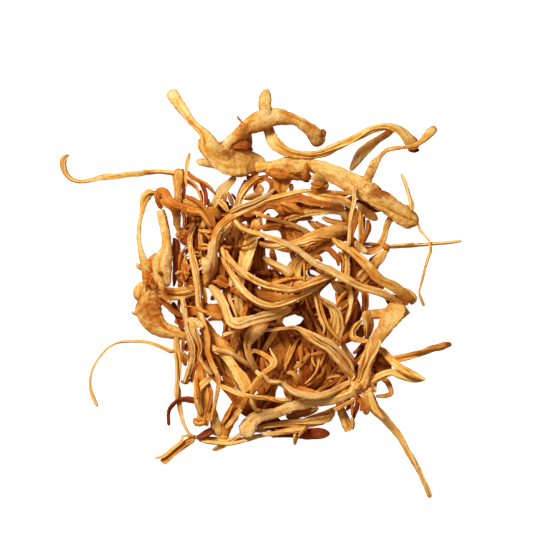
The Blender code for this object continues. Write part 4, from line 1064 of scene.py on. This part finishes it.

# %% [markdown]
# ## The drawn threads
# Between the sixty strands lie some two hundred finer threads, stubs, loops and crumpled leaves that
# the eye can still follow. They are drawn in plan. A row names the level, the surface and
# the finish, and then the plan points of a thread as across, down and width in grid squares; a bar
# starts another thread of the same kind. Each region of the clump makes one piece for each finish.

# %% Threads drawn in plan
DRAWN = {
    "around_arch": """
    high leaf brown 246,128,12 246,140,14 249,151,12
    top thread brown 236.7,115,2.6 238.5,118.5,3.4 241.5,122,3.4
    high leaf pale 216,146,5 223,144.5,8 230,142,13 237,139.5,17 246,137,17
    high leaf brown 229,147.5,5 237,145.5,8 245,146,10 252,150,6
    high club gold 199.5,139,5 200.5,146,7 202,153,5
    mid club pale 196,161,8.5 206,162.5,8.5 213,164,8.5 220,166,8 228,168,7
    top club brown 321.5,128.5,4.5 324.3,132,5 324.5,137,3.5
    mid club gold 250,167,13 262,167,11 272,166.5,11 281,166,13
    high club russet 408,149.5,3 414,150.3,4.5 419.5,149.5,5
    top thread pale 401,173.5,4.4 403.5,178,4.4 406,185,4 408.5,192,4 410.5,199,4.8 412.5,211,7
    mid leaf russet 356,200,6 364,206,8 372,209.5,7 381,211,3
    high club amber 383,244,5 387,247,8 390,249,5
    upper thread brown 363,243.5,3 371,244.5,3.6 379,244.5,3
    upper strand gold 389,249,5 383,253,7 376,258,8 369,262,7
    high strand pale 348.5,240,5 347,255,5.5 347,270,5.5 349,285,5 351,298,5.5 350,312,5 345,325,4
    upper strand pale 371,261,5 366.5,267,6 361,273,6 356,279.5,5
    high club brown 311,187,5 318,190,8 325,187,7 327,181,5
    high strand brown 310,183,6 316,184.5,8 324,184.5,6
    high strand pale 311,180,5 315,177,8 320,178,8 325,182,6
    upper strand gold 281,221,5 290,217.5,5.5 300,215,6 311,213.5,7 322,212,8 333,210,8 342,211,9 \
        347,218,9 349,226,5
    upper strand gold 311,221,4 316,225,5.5 322,228,5.5
    mid strand amber 345,237,5 335,241,7 324,247,9 313,254,8 303,259,6
    upper strand gold 359,205,5 361,216,6 361.5,228,5.5 360.5,247,5
    upper strand brown 368,219,5 368.5,228,5.5 366.5,235,5 361.5,247,4
    upper strand brown 356,208,4.5 356,220,5 353.5,232,4.5 352.5,244,4
    high strand gold 357,203,6 363,209,7 369,215,9 375,218.5,8 378,219,5
    mid strand brown 339,252,6 344,262,6 343,275,6
    upper thread amber 322,217,4 330,221,4 340,223,4 347,223,4
    high leaf russet 384,295,6 392,300,12 400,303,11 406,305,6
    mid leaf amber 279,168,20 281,175,21 281,183,19 281,189,15 281,194,12
    mid club brown 264,170,7 274,173,10 286,175,11 300,176,10 312,177,8
    high leaf brown 307,161,2 306.5,168,5 305.5,175,9 305,181,7
    mid strand brown 252,182,6 260,178,7 268,175,6
    upper strand gold 303,190,4 312,193,7 322,196,9 335,199,8 348,204,7 355,208,5
    upper strand brown 262,203,5 280,202,8 298,199,9 311,202,9 326,205,7 345,208,5
    top strand pale 355,241,5 362,248,6 368,252,6
    """,
    "upper_left": """
    low strand russet 182.5,168,3 183,180,3.5 183,190,4 182.5,200,4 180,206,3
    top thread gold 189.5,152,3 187,162,3.5 185.7,170,3.5 185.5,178,3 186.5,186,3
    mid thread brown 187,171,5 189.5,175.5,5 195,179,4.4 201,181.8,5 206,184,4.6 211,188.5,4.2 215,194,4.4
    mid strand amber 160,200,5 165.5,205,6 171.5,209.5,4.5 174,218,3 174,226,2
    mid strand brown 182,210,4 184.5,216,4 184.5,222,4 183,229,4
    mid thread amber 184,180,3 190,183,3 196,188,3 199,193,3
    mid thread brown 200,190,3 202,197,3.5 203,204,3 | 208,199,3.5 208.5,204,4 209,209,4
    mid strand amber 226,193,4 224,198,5 225,204,4
    mid thread amber 245,179,4 241.5,188,3 237.5,198,2.5
    mid thread brown 173,242,3.5 173,249,3.5 173,256,3.5
    upper thread brown 184,256,3 187,251,4 189,247,3
    low thread brown 177,277,4 180,283,5 178,288,3
    mid thread russet 200,182,4 204,187,4.6 206,194,4.6 206,205,5
    mid thread amber 186,179,3 191,181,3.4 196,186,3.6 198,192,4 200.5,198,3.4 202,205,3.2
    upper strand gold 179.5,213,4 177.5,220,5 180,228,4
    upper strand amber 186,210,6.5 200,211.5,7 206,218,6 211,227,5
    upper strand brown 185,196,5 193,199.5,5.5 200,204,5.5 206,210,5.5 211,217,5.5 214,228,5
    mid strand russet 173,238,3 175.5,242,5.5 177,248,6 175,262,6 174,275,5 173,287,3
    upper leaf pale 177.5,231,6 178.5,235.5,7 180,239,4
    upper strand brown 178,240.5,3 183,236,5 188,232,5
    upper leaf pale 180.5,241.5,4 185,242.5,6.5 190,244,5.5
    upper strand gold 198,230,4 204,231,5 211,232,4
    upper strand amber 198,246,7 204,246.5,7.5 211,246.5,6
    upper thread brown 188,249,4 183,252,4.5 180,258,5 179,270,4
    upper thread gold 185,255,3 184,263,3.5 182,272,3
    upper thread pale 175,274,4.5 180,272,4.5 184,272,4
    high leaf gold 202,257,7 206,266,9 203,275,7
    floor leaf brown 182,256,10 184,268,14 185,281,12
    low club amber 158,253,8 152,264,13 148,275,13 148,286,10
    mid leaf amber 206,209,10 213,213,12 221,217,10
    upper thread pale 226,191,4.5 230,198,4.5 233,206,4.5
    upper strand gold 216,200,5 222,204,6 229,212,5
    high thread gold 257,184,5 262,188,4 260,194,6
    high strand pale 243,198,6 252,197,6.5 262,195,6 | 276,189,4 265,196,5 252,202,5 240,207,5 230,213,4
    upper thread pale 235,222,4.5 236,232,5 236,245,5 234,255,5 233,262,4
    """,
    "centre": """
    low thread brown 256.5,182,6 256.5,188,6 256.5,193,6 | 291,183,5 291,187,5 291,191,5
    low thread brown 310,197,2.5 316,198.5,3 324,201,3
    mid thread brown 334,194.5,3 342,195,3 348,195,4 | 343,200.5,3 347,200,5 352,199,6
    mid thread brown 259,212,4 260,219,4.5 262,226,4 | 268,213,5 268.5,220,5 266,226,5
    upper thread brown 261,214,5 266,208,5 274,207.5,5 278.5,212,5
    mid thread brown 239,222,4 244,219.5,4 249,218,4 | 248.5,216,5 248.5,222,5 248,228,5
    mid thread brown 240,224,4 244,226,4 249,227,4
    mid thread brown 262,229.5,5 270,229,3 279,229.5,3.5 283.5,236,5 283,240,3
    mid strand brown 294,219,3 303,218.3,4.5 313,218.3,4
    mid thread amber 308,220,4 313,225,4 318,230,4
    mid thread brown 316,221,3 321,224.5,4 328,226.5,3 | 323,216.5,3 331,220,3 344,221.5,3
    mid thread brown 364,216,3.5 364,224,3.5 364,232,3.5
    mid strand brown 271.5,248,6 272,255,6.5 276,262,6 | 289,246,5 292,252,6 292,259,5
    mid strand brown 322,249.5,4 329,250,5 334,254,6 338.5,259,5 338.5,266,4
    mid thread brown 312,258,5 318,257,5 322,262,4
    mid strand brown 306,268,4 313,268,5 320,271,6 325,275,4
    mid thread brown 308.5,267,2.5 309,275,3 317,277,3
    mid strand brown 336,278,5 328,281.5,6 321,288,5 319,294,4 322,299,3
    mid thread brown 336,292,3 337.5,298,4 336.5,304,3
    mid strand brown 280,319,4 287,314.5,4 298,312.5,3
    mid club gold 373,192.5,6 380,195,10 389,199,11 398,204,8
    high strand gold 402,288,5 409,293,6 413,299,7 411,305,5
    mid thread brown 361.5,285,4 361.5,289,4 361.5,293,3 | 264,178,4 270,181,5 271,188,5 267,193,4
    under club gold 402,222,9 408,224.5,10 414,224.5,9
    high thread gold 363,306,4 362.5,313,4
    mid thread gold 389,245.5,3 402,244.7,3 415,243.8,3
    upper strand gold 250,212,4 262,215,4 275,219,4.5 288,223,5 300,228,5 312,234,5
    upper strand amber 280,203,5 292,207,7 303,213,5 | 283,226,4 287,234,5 294,241,6
    upper thread amber 292,230,3 296,240,4 300,246,4
    upper strand pale 262,257,5 271,263,8 280,268,9 292,276,10
    low leaf brown 262,243,7 275,245.5,7 290,251,6
    low thread russet 270,268,2 273,276,2 276,284,3
    mid strand brown 216,277,8 221,280,10 227,286,10
    upper thread pale 231,272,4.5 230,285,4.5 230,290,4.5 231,300,4.5 234,310,4 237,317,3
    mid leaf amber 252,288,6 262,294,10 278,299,12 292,299,9 302,296,5
    high thread amber 184,306,2 194,307,2 200,310,2.5 208,313,3
    high thread gold 204,287,5 205,295,6 206,303,5 | 247,307,2 254,309,2.5 262,311,2
    upper strand amber 156,296.5,6 163,301.5,6.5 170,306.5,6 177,312.5,6 183,317,5
    low leaf russet 172.5,302,5 177,314,8 180,322,9 182,330,6
    under club gold 144.5,282,8 140,289,12 138.5,295,12 140.5,301,8
    top club brown 151,284,7 154,286.5,9 158,287,7
    top strand gold 155,276,3.5 160,280,5 162.5,287,5.5 165,296,5.5 170,303,5
    top club russet 157.5,272.5,3 160,273.3,4.4 162.5,274,3
    top thread pale 145,283,3 145.5,288,3 146,292,2.5
    under club gold 130.5,312,4 135,313.5,5 142,315,6 | 136,263,4 138.5,266,6.5 142,270,6
    upper strand gold 331,281,7 338,288,8 346,295,6
    upper thread amber 348,290,4 341,299,5 336,306,4 | 352,299,4 345,306,4 340,311,4
    upper thread amber 356,302,3 350,312,4 346,322,4
    mid thread pale 322,298,3 333,304,3.5 340,313,3.5 343,325,3
    high thread pale 313,291,4 316,300,4 318,310,3 321,320,3.5 324,327,3 323,334,2.5
    upper strand amber 300,305,4 305,314,5 309,323,8 311,331,6
    high strand amber 309,295,5 311,300,6 313,304,6
    upper strand brown 365,283,6.5 366,295,7.5 366.5,311,8
    high club gold 364,314,8 375,314.5,9.5 386,313,10 394,311.5,12
    high leaf gold 370,354,3 376,342.5,9 383,331,14 390,321,19 396,313,21 401,305,17
    high strand gold 365.5,311,10 367,320,9.5 367.5,330,9.5 367.5,338,8
    high strand gold 362,320,4 355,326,6 352.5,331,5 353,338,6 361,341,5 369,341,4
    upper leaf amber 358,328,5 360.5,333,7 363,338,5
    """,
    "lower": """
    high strand pale 380,340,8 376,352,5 371,362,4.5 369,371,5 368,379,5 366,386,5
    top club pale 354,384,8 357.5,387,12 360,390,9
    high thread pale 313,333,4 320,338,4 328,342,4 336,347,4 343,354,4 350,362,4 354,371,4
    mid thread brown 178.5,299,3.5 179,305,3.5 179,311,3.5
    low thread gold 175,352,4 176,370,3 176.5,385,4 176,400,4
    mid thread brown 208,321,4 214,318.5,5 222,319,5 | 224.5,316,5 225,324,6 223.5,331,4 221.5,337,3
    mid strand brown 182.5,338,3 183,345,4.5 182,352,4
    mid thread gold 181,381,5 186,382.5,5 190,379,4
    mid strand brown 182,350,3 184,358,6 186,366,4 | 195,362,4 193,372,5 192,383,4
    mid strand brown 222,376,6 228,382,8 234,388,6 | 363,343,4 358.5,350,4.5 353,354,4
    mid strand gold 303,417,4 312,412,6 319,408,5
    low leaf russet 297,335,8 299,350,10 297,362,8
    low leaf brown 300,345,8 306,360,14 304,375,14 300,386,8
    low leaf russet 305,365,7 306,375,8 304,385,7
    mid thread gold 290,345,3 287,360,4 285,372,4
    mid strand amber 310,353,4 302,362,5 294,369,5
    mid thread gold 313,345,2.5 313,360,3 316,367,2.5 | 318,350,3 318,365,3 312,378,3 305,385,3
    mid thread amber 325,365,4 322,375,4 312,383,4 307,386,3.5
    upper strand gold 325,380,5 333,376.5,5 343,376,4.5
    mid thread amber 305,331,3 297,341,3 292,350,4 288,360,4 286,366,3
    mid thread brown 303,343,3 301,352,4 301,362,3
    high thread pale 270,348,2.5 273,355,3 276,362,3 275,367,2.5
    high strand amber 274,368,6 270,371,6 264,376,7 258,382,7 253,390,6 252,396,5
    high thread pale 262,373,4 266,378,4 270,382,4 281,382,3.5
    upper strand gold 284,375,5.5 284,382,6 286,390,7 289,397,7 292,400,5
    upper strand gold 286,373,5 292,374,6 296,380,7 298,387,6
    high thread pale 213,350,4.5 225,352,5 235,356,5 243,361,4.5 250,368,4
    upper strand gold 222,360,6 227,367,8 233,376,8.5 239,385,8 244,391,7
    top thread pale 221,338,2 225,334.5,5 232,332.5,4 240,331,3
    mid thread gold 183,353,4 187,358,4 190,363,4
    mid strand amber 216,376,6 221,384,6 228,388,5 237,391,5
    high strand gold 218,385,4 230,390,5 240,393.5,5 250,396,5 258,397,5 268,398,5 278,400,5 289,399.5,5
    high leaf pale 188,319,7 195,323,9 204,327,6
    high strand pale 190,320,6 194,330,8 200,342,6.4 201,350,5 199,357,4.4 203,364,5 207.5,369.5,6.4 \
        213,375,5
    upper thread gold 196,333,4 200,340,4 203,345,4
    mid leaf amber 205,320,7 209,331,11 216,341,14 225,349,13 236,356,8
    low leaf brown 373,345,6 377,355,11 383,366,18 381,377,12
    mid club brown 379,359,8 386,360,10 394,359,6
    mid strand gold 381,378.5,4.5 386.5,381.5,5.5 389.5,388,5 390.5,393.5,5 385.5,395.5,4.5 376,395.5,4
    mid thread gold 376,383,4 374.5,388,4 376,393,3
    upper thread pale 362,393,4 370,405,5 380,416,5
    upper strand gold 370,385,5 371,397,5 376,409,5 384,419,4
    """,
    "bottom": """
    mid strand gold 212,377,5 203,384,6 198,392,7 198,405,7 201,415,6
    mid strand amber 195,375,4 196,385,5 196,395,5 197,400,4
    mid strand brown 208,388,5 211,395,5 210,405,5 208,412,4
    low thread brown 203,435,3 210,432.5,4 217,436,3
    low thread gold 253,431.5,4 260,431.5,4 268,431,3
    low strand amber 195,418,6 197,426,6 | 203,418,6 205,425,5
    mid strand gold 216,410,4 215,420,8 217,430,10 219,437,8
    upper strand amber 233,405,5 228,414,5 221,425,4.5
    upper thread russet 237,407,3 232,416,3 226,427,3
    upper strand gold 241,409,6 234,418,5.5 226,429,5
    mid strand brown 240,395,5 247,402,5 255,410,5
    upper thread pale 249,396,3.5 252,403,4 256,409,4 262,410,3
    mid strand gold 262,434.5,4 275,433.5,4.5 290,431.5,6 300,430,6.5 308,427,5
    low strand russet 265,428,4 285,427.5,5 300,424,5
    mid thread gold 268,424,3.5 285,422,4 300,422,5
    mid strand brown 286,416,6 293,417,8 302,413,8 311,412,4
    mid thread gold 355,392,4 345,402,4 335,409,4 320,415,4 305,420,4 295,425,3.5
    mid thread gold 360,399,3 352,401,3.5 345,404.5,4 337,409,4 325,413.5,4
    mid thread gold 295,434,6.5 294.5,441,6 294.5,445,4 | 298,438,3 301,433,4 306,427,4
    mid thread russet 358,399,6 356.5,407,6 354.5,414,5 353,422,3.5
    low strand brown 352,396,6 359,398,6 362.5,404,4 360.5,411,3 | 354,400,6 349,406,6 346,411,3
    mid club brown 366,402,6 366,409,9.5 365.5,415,8
    mid thread brown 352,402,3 352.3,409,3.5 352,416,3
    mid strand gold 352,417,4 352.5,424,4 352.5,430,4
    low thread gold 212,450.5,5 217,448.5,6 223,445.5,6 229,442,5 237,437,5 245,431,4
    mid strand gold 194,421,5 198,424.5,5 205,423.5,5
    low thread pale 155,459,3.5 163,457,4 175,447,4 181,441,4 182,437,3.5 187,436,3 195,436.5,3
    low strand russet 196,438,5 204,435.5,6 212,431,6 218,427,5
    low thread gold 198,441,4 214,443,4.5 230,444,4 250,440,3
    """,
}
print(len(DRAWN), "regions drawn")

# %% Lay the drawn threads
drawn_lines = {}
for region, table_text in DRAWN.items():
    for row in table_text.strip().splitlines():
        level, look, finish_name, threads = row.split(maxsplit=3)
        for drawn in threads.split("|"):
            points = [[float(part) for part in spot.split(",")] for spot in drawn.split()]
            line = thread(points, LEVEL_NAMES.index(level), tone_of.uniform(10, 45))
            drawn_lines.setdefault((region, finish_name), []).append((line, look))
print(sum(len(lines) for lines in drawn_lines.values()), "drawn threads laid")

# %% [markdown]
# ## The nest of curls
# Left of the middle a few very thin threads have dried into small curls, one beside the other.
# They are too small to follow one by one, so each is a piece of a stretched ring of random size.

# %% Tiny curls
CURL_PLACES = [(x, y) for x in (181, 188, 197, 204) for y in (252, 260, 268, 276, 283)]
CURL_POINTS = 7
CURL_STRETCH = 1.5
CURL_BOW = 30
curl_rng = random.Random(41)
for across, down in CURL_PLACES:
    radius = curl_rng.uniform(2.5, 5.5)
    start = curl_rng.uniform(0, FULL_TURN)
    turns = start + np.linspace(0, curl_rng.uniform(2.2, 4.0), CURL_POINTS)
    across += curl_rng.uniform(-2, 2)
    widths = np.full(CURL_POINTS, curl_rng.uniform(1.6, 2.6))
    curl = np.column_stack([across + radius * np.cos(turns),
                            down + CURL_STRETCH * radius * np.sin(turns), widths])
    line = thread(curl, LEVEL_NAMES.index("mid"), CURL_BOW)
    finish_name = curl_rng.choice(("pale", "amber", "russet"))
    drawn_lines.setdefault(("curls", finish_name), []).append((line, "thread"))
print(len(CURL_PLACES), "curls laid")

# %% Grow the drawn threads
THREAD_SIDES = 16
THREAD_KINKS = 0.11 * MM
THREAD_SEED_STEP = 1.3


def grow_threads(name, lines, finish_name, seed):
    """One piece from several laid threads."""
    ready = []
    for order, (line, look) in enumerate(lines):
        line = round_ends(wobbled(smooth_line(line), THREAD_KINKS), (True, True))
        ready.append((line, look, tone_of.uniform(-1, 1), seed + order * THREAD_SEED_STEP))
    piece = grow_skin(name, ready, FINISHES[finish_name], THREAD_SIDES)
    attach(piece, "root")
    pieces.append(piece)


for number, ((region, finish_name), lines) in enumerate(drawn_lines.items()):
    grow_threads(f"threads_{region}_{finish_name}", lines, finish_name, 200 + 20 * number)
print(len(pieces), "pieces,", sum(len(piece.data.polygons) for piece in pieces), "faces")

# %% [markdown]
# ## The threads deep in the clump
# Underneath, the clump is a dense tangle, yet light falls through it in many places. The gaps
# and the tangle's outline are drawn. Then threads are tried at random, each one a
# gentle curve that stays inside the outline and clear of every gap, and of every batch of
# trials the one that covers the most bare table is kept. First come fine threads, then broad
# shrivelled leaves that lie right at the bottom and close the rest.

# %% Gaps, outline and the bare table
# A gap is a rounded box: from and to across, from and to down. An outline corner is across, down.
GAPS = """
320,338,252,267 333,340,247,252 336,341,266,271 308,318,269,276 321,337,284,304 360,364,293,308
370,387,293,311 284,300,314,326 364,368,255,259 273,292,251,267 260,270,249,256 264,277,209,216
262,266,218,223 243,249,221,226 264,281,229,239 235,243,178,200 247,255,185,195 260,271,176,192
293,311,184,191 302,317,194,202 297,316,219,231 311,335,216,225 325,344,213,221 326,343,182,191
341,346,196,200 356,359,229,238 370,392,212,243 178,185,214,226 179,187,244,256 161,176,304,324
209,217,293,304 213,222,320,337 175,180,300,306 371,382,318,332 386,397,286,293 346,358,342,353
376,388,381,393 280,283,387,396 228,232,380,387 209,217,378,393 218,235,390,420 181,194,364,397
181,198,403,433 200,210,425,434 232,247,414,437 255,262,431,436 280,288,415,421 316,334,404,412
345,352,409,419 361,364,404,415 183,188,437,441
"""
OUTLINE = """
178,210 186,205 198,206 210,207 218,203 224,198 236,188 246,174 262,170 290,176 312,178 330,186
352,196 358,214 366,226 364,244 366,256 372,268 380,279 394,291 404,300 398,314 380,322 372,336
372,352 384,366 372,378 366,394 352,400 340,402 318,404 304,420 284,430 262,432 248,428 240,412
236,396 222,384 214,392 206,372 196,358 184,352 180,336 178,318 186,300 188,280 180,262 177,246
178,232
"""
NO_GAP = 9.0
gap_boxes = np.array([[float(v) for v in gap.split(",")] for gap in GAPS.split()])
outline = np.array([[float(v) for v in corner.split(",")] for corner in OUTLINE.split()])
down_grid, across_grid = np.mgrid[0:PICTURE, 0:PICTURE].astype(float)


def inside_outline(across, down):
    """True where a place lies inside the outline."""
    inside = np.zeros(np.shape(across), dtype=bool)
    for (x1, y1), (x2, y2) in zip(outline, np.roll(outline, -1, axis=0)):
        crossing = (y1 > down) != (y2 > down)
        inside ^= crossing & (across < (x2 - x1) * (down - y1) / (y2 - y1 + 1e-12) + x1)
    return inside


def gap_depth(across, down, margin=0.0):
    """Below 1 where a place is inside a gap, or nearer to it than the margin."""
    depth = np.full(np.shape(across), NO_GAP)
    for x1, x2, y1, y2 in gap_boxes:
        wide, tall = (x2 - x1) / 2 + margin, (y2 - y1) / 2 + margin
        away = ((across - (x1 + x2) / 2) / wide) ** 2 + ((down - (y1 + y2) / 2) / tall) ** 2
        depth = np.minimum(depth, away)
    return depth


bare = inside_outline(across_grid, down_grid) & (gap_depth(across_grid, down_grid) > 1) & (tops[-1] <= 0)
print("bare table to cover:", int(bare.sum()), "squares")

# %% Try one thread
TURN_SPREAD = 0.035
POINT_SPACING = 2.2
FEWEST_POINTS = 5
MANY_POINTS = 8
fill_rng = random.Random(29)


def try_thread(wanted, widths, lengths):
    """A random gentle curve inside the outline: rows of across, down, width, or None."""
    spots = np.argwhere(wanted)
    down, across = spots[fill_rng.randrange(len(spots))]
    heading = fill_rng.uniform(0, 2 * math.pi)
    turn = fill_rng.gauss(0, TURN_SPREAD)
    width = fill_rng.uniform(*widths)
    margin = width * 0.42 + 0.4
    halves = []
    for way in (1, -1):
        spot, angle, half = np.array([across, down], dtype=float), heading, []
        for _ in range(int(fill_rng.uniform(*lengths))):
            spot = spot + way * POINT_SPACING * np.array([math.cos(angle), math.sin(angle)])
            angle += way * turn
            if gap_depth(spot[0], spot[1], margin) < 1 or not inside_outline(spot[0], spot[1]):
                break
            half.append(spot)
        halves.append(half)
    route = halves[1][::-1] + [np.array([across, down], dtype=float)] + halves[0]
    if len(route) < FEWEST_POINTS or gap_depth(across, down, margin) < 1:
        return None
    route = np.array(route)[::2] if len(route) > MANY_POINTS else np.array(route)
    taper = 0.55 + 0.45 * np.sin(np.linspace(0.15, 2.6, len(route)))
    return np.column_stack([route, width * taper])


print("a trial has a point every", round(POINT_SPACING * GRID / MM, 2), "mm")

# %% Keep the best of many trials
TRIALS = 24
ENOUGH_SQUARES = 40
SURE_SHARE = 0.8  # the part of a thread's width that its wavy edges surely cover
FILL_SEED_STEP = 90


def covers(points, wanted):
    """Which of the wanted squares a drawn thread covers."""
    x, y = on_table(points[:, 0], points[:, 1])
    flat = np.column_stack([x, y, 0 * x, points[:, 2] * GRID * SURE_SHARE, points[:, 2] * GRID])
    down, across, _, _ = band(flat, 1.0)
    hit = np.zeros_like(wanted)
    hit[down, across] = True
    return hit & wanted


def fill(label, count, widths, lengths, levels, finishes, look_choice, thinness, seed):
    """Lay up to so many threads over the bare squares, and grow one piece for each finish."""
    wanted = bare.copy()
    lines = {}
    for _ in range(count):
        if wanted.sum() < ENOUGH_SQUARES:
            break
        trials = [try_thread(wanted, widths, lengths) for _ in range(TRIALS)]
        trials = [points for points in trials if points is not None]
        if not trials:
            continue
        hits = [covers(points, wanted) for points in trials]
        best = int(np.argmax([hit.sum() for hit in hits]))
        wanted &= ~hits[best]
        line = thread(trials[best], fill_rng.choice(levels), fill_rng.uniform(0, 30), thinness)
        lines.setdefault(fill_rng.choice(finishes), []).append((line, fill_rng.choice(look_choice)))
    print(sum(len(group) for group in lines.values()), label, "laid; bare squares left:", int(wanted.sum()))
    for number, (finish_name, group) in enumerate(sorted(lines.items())):
        grow_threads(f"{label}_{finish_name}", group, finish_name, seed + FILL_SEED_STEP * number)


fill("deep_threads", 46, (2.6, 4.6), (9, 24), (1, 2, 3), ("amber", "brown"), ("thread", "strand"), 1.0, 700)
# painted shade: the broad leaves at the bottom get dark brown and russet finishes that stand partly for the
# shade deep in the clump
fill("dark_shade_leaves", 130, (6, 15), (5, 16), (0,), ("brown", "russet"), ("leaf",), 0.45, 1100)
print(len(pieces), "pieces,", sum(len(piece.data.polygons) for piece in pieces), "faces")

# %% [markdown]
# ## Sizes
# Both boxes are printed: the imported model's and the dressed clump's. The dressed clump has
# to stay the size of the imported model.

# %% Print both boxes
dressed_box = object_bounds()
for label, (low, high) in (("packed", cad_box), ("dressed", dressed_box)):
    print(label, [round((b - a) / MM, 1) for a, b in zip(low, high)], "mm")
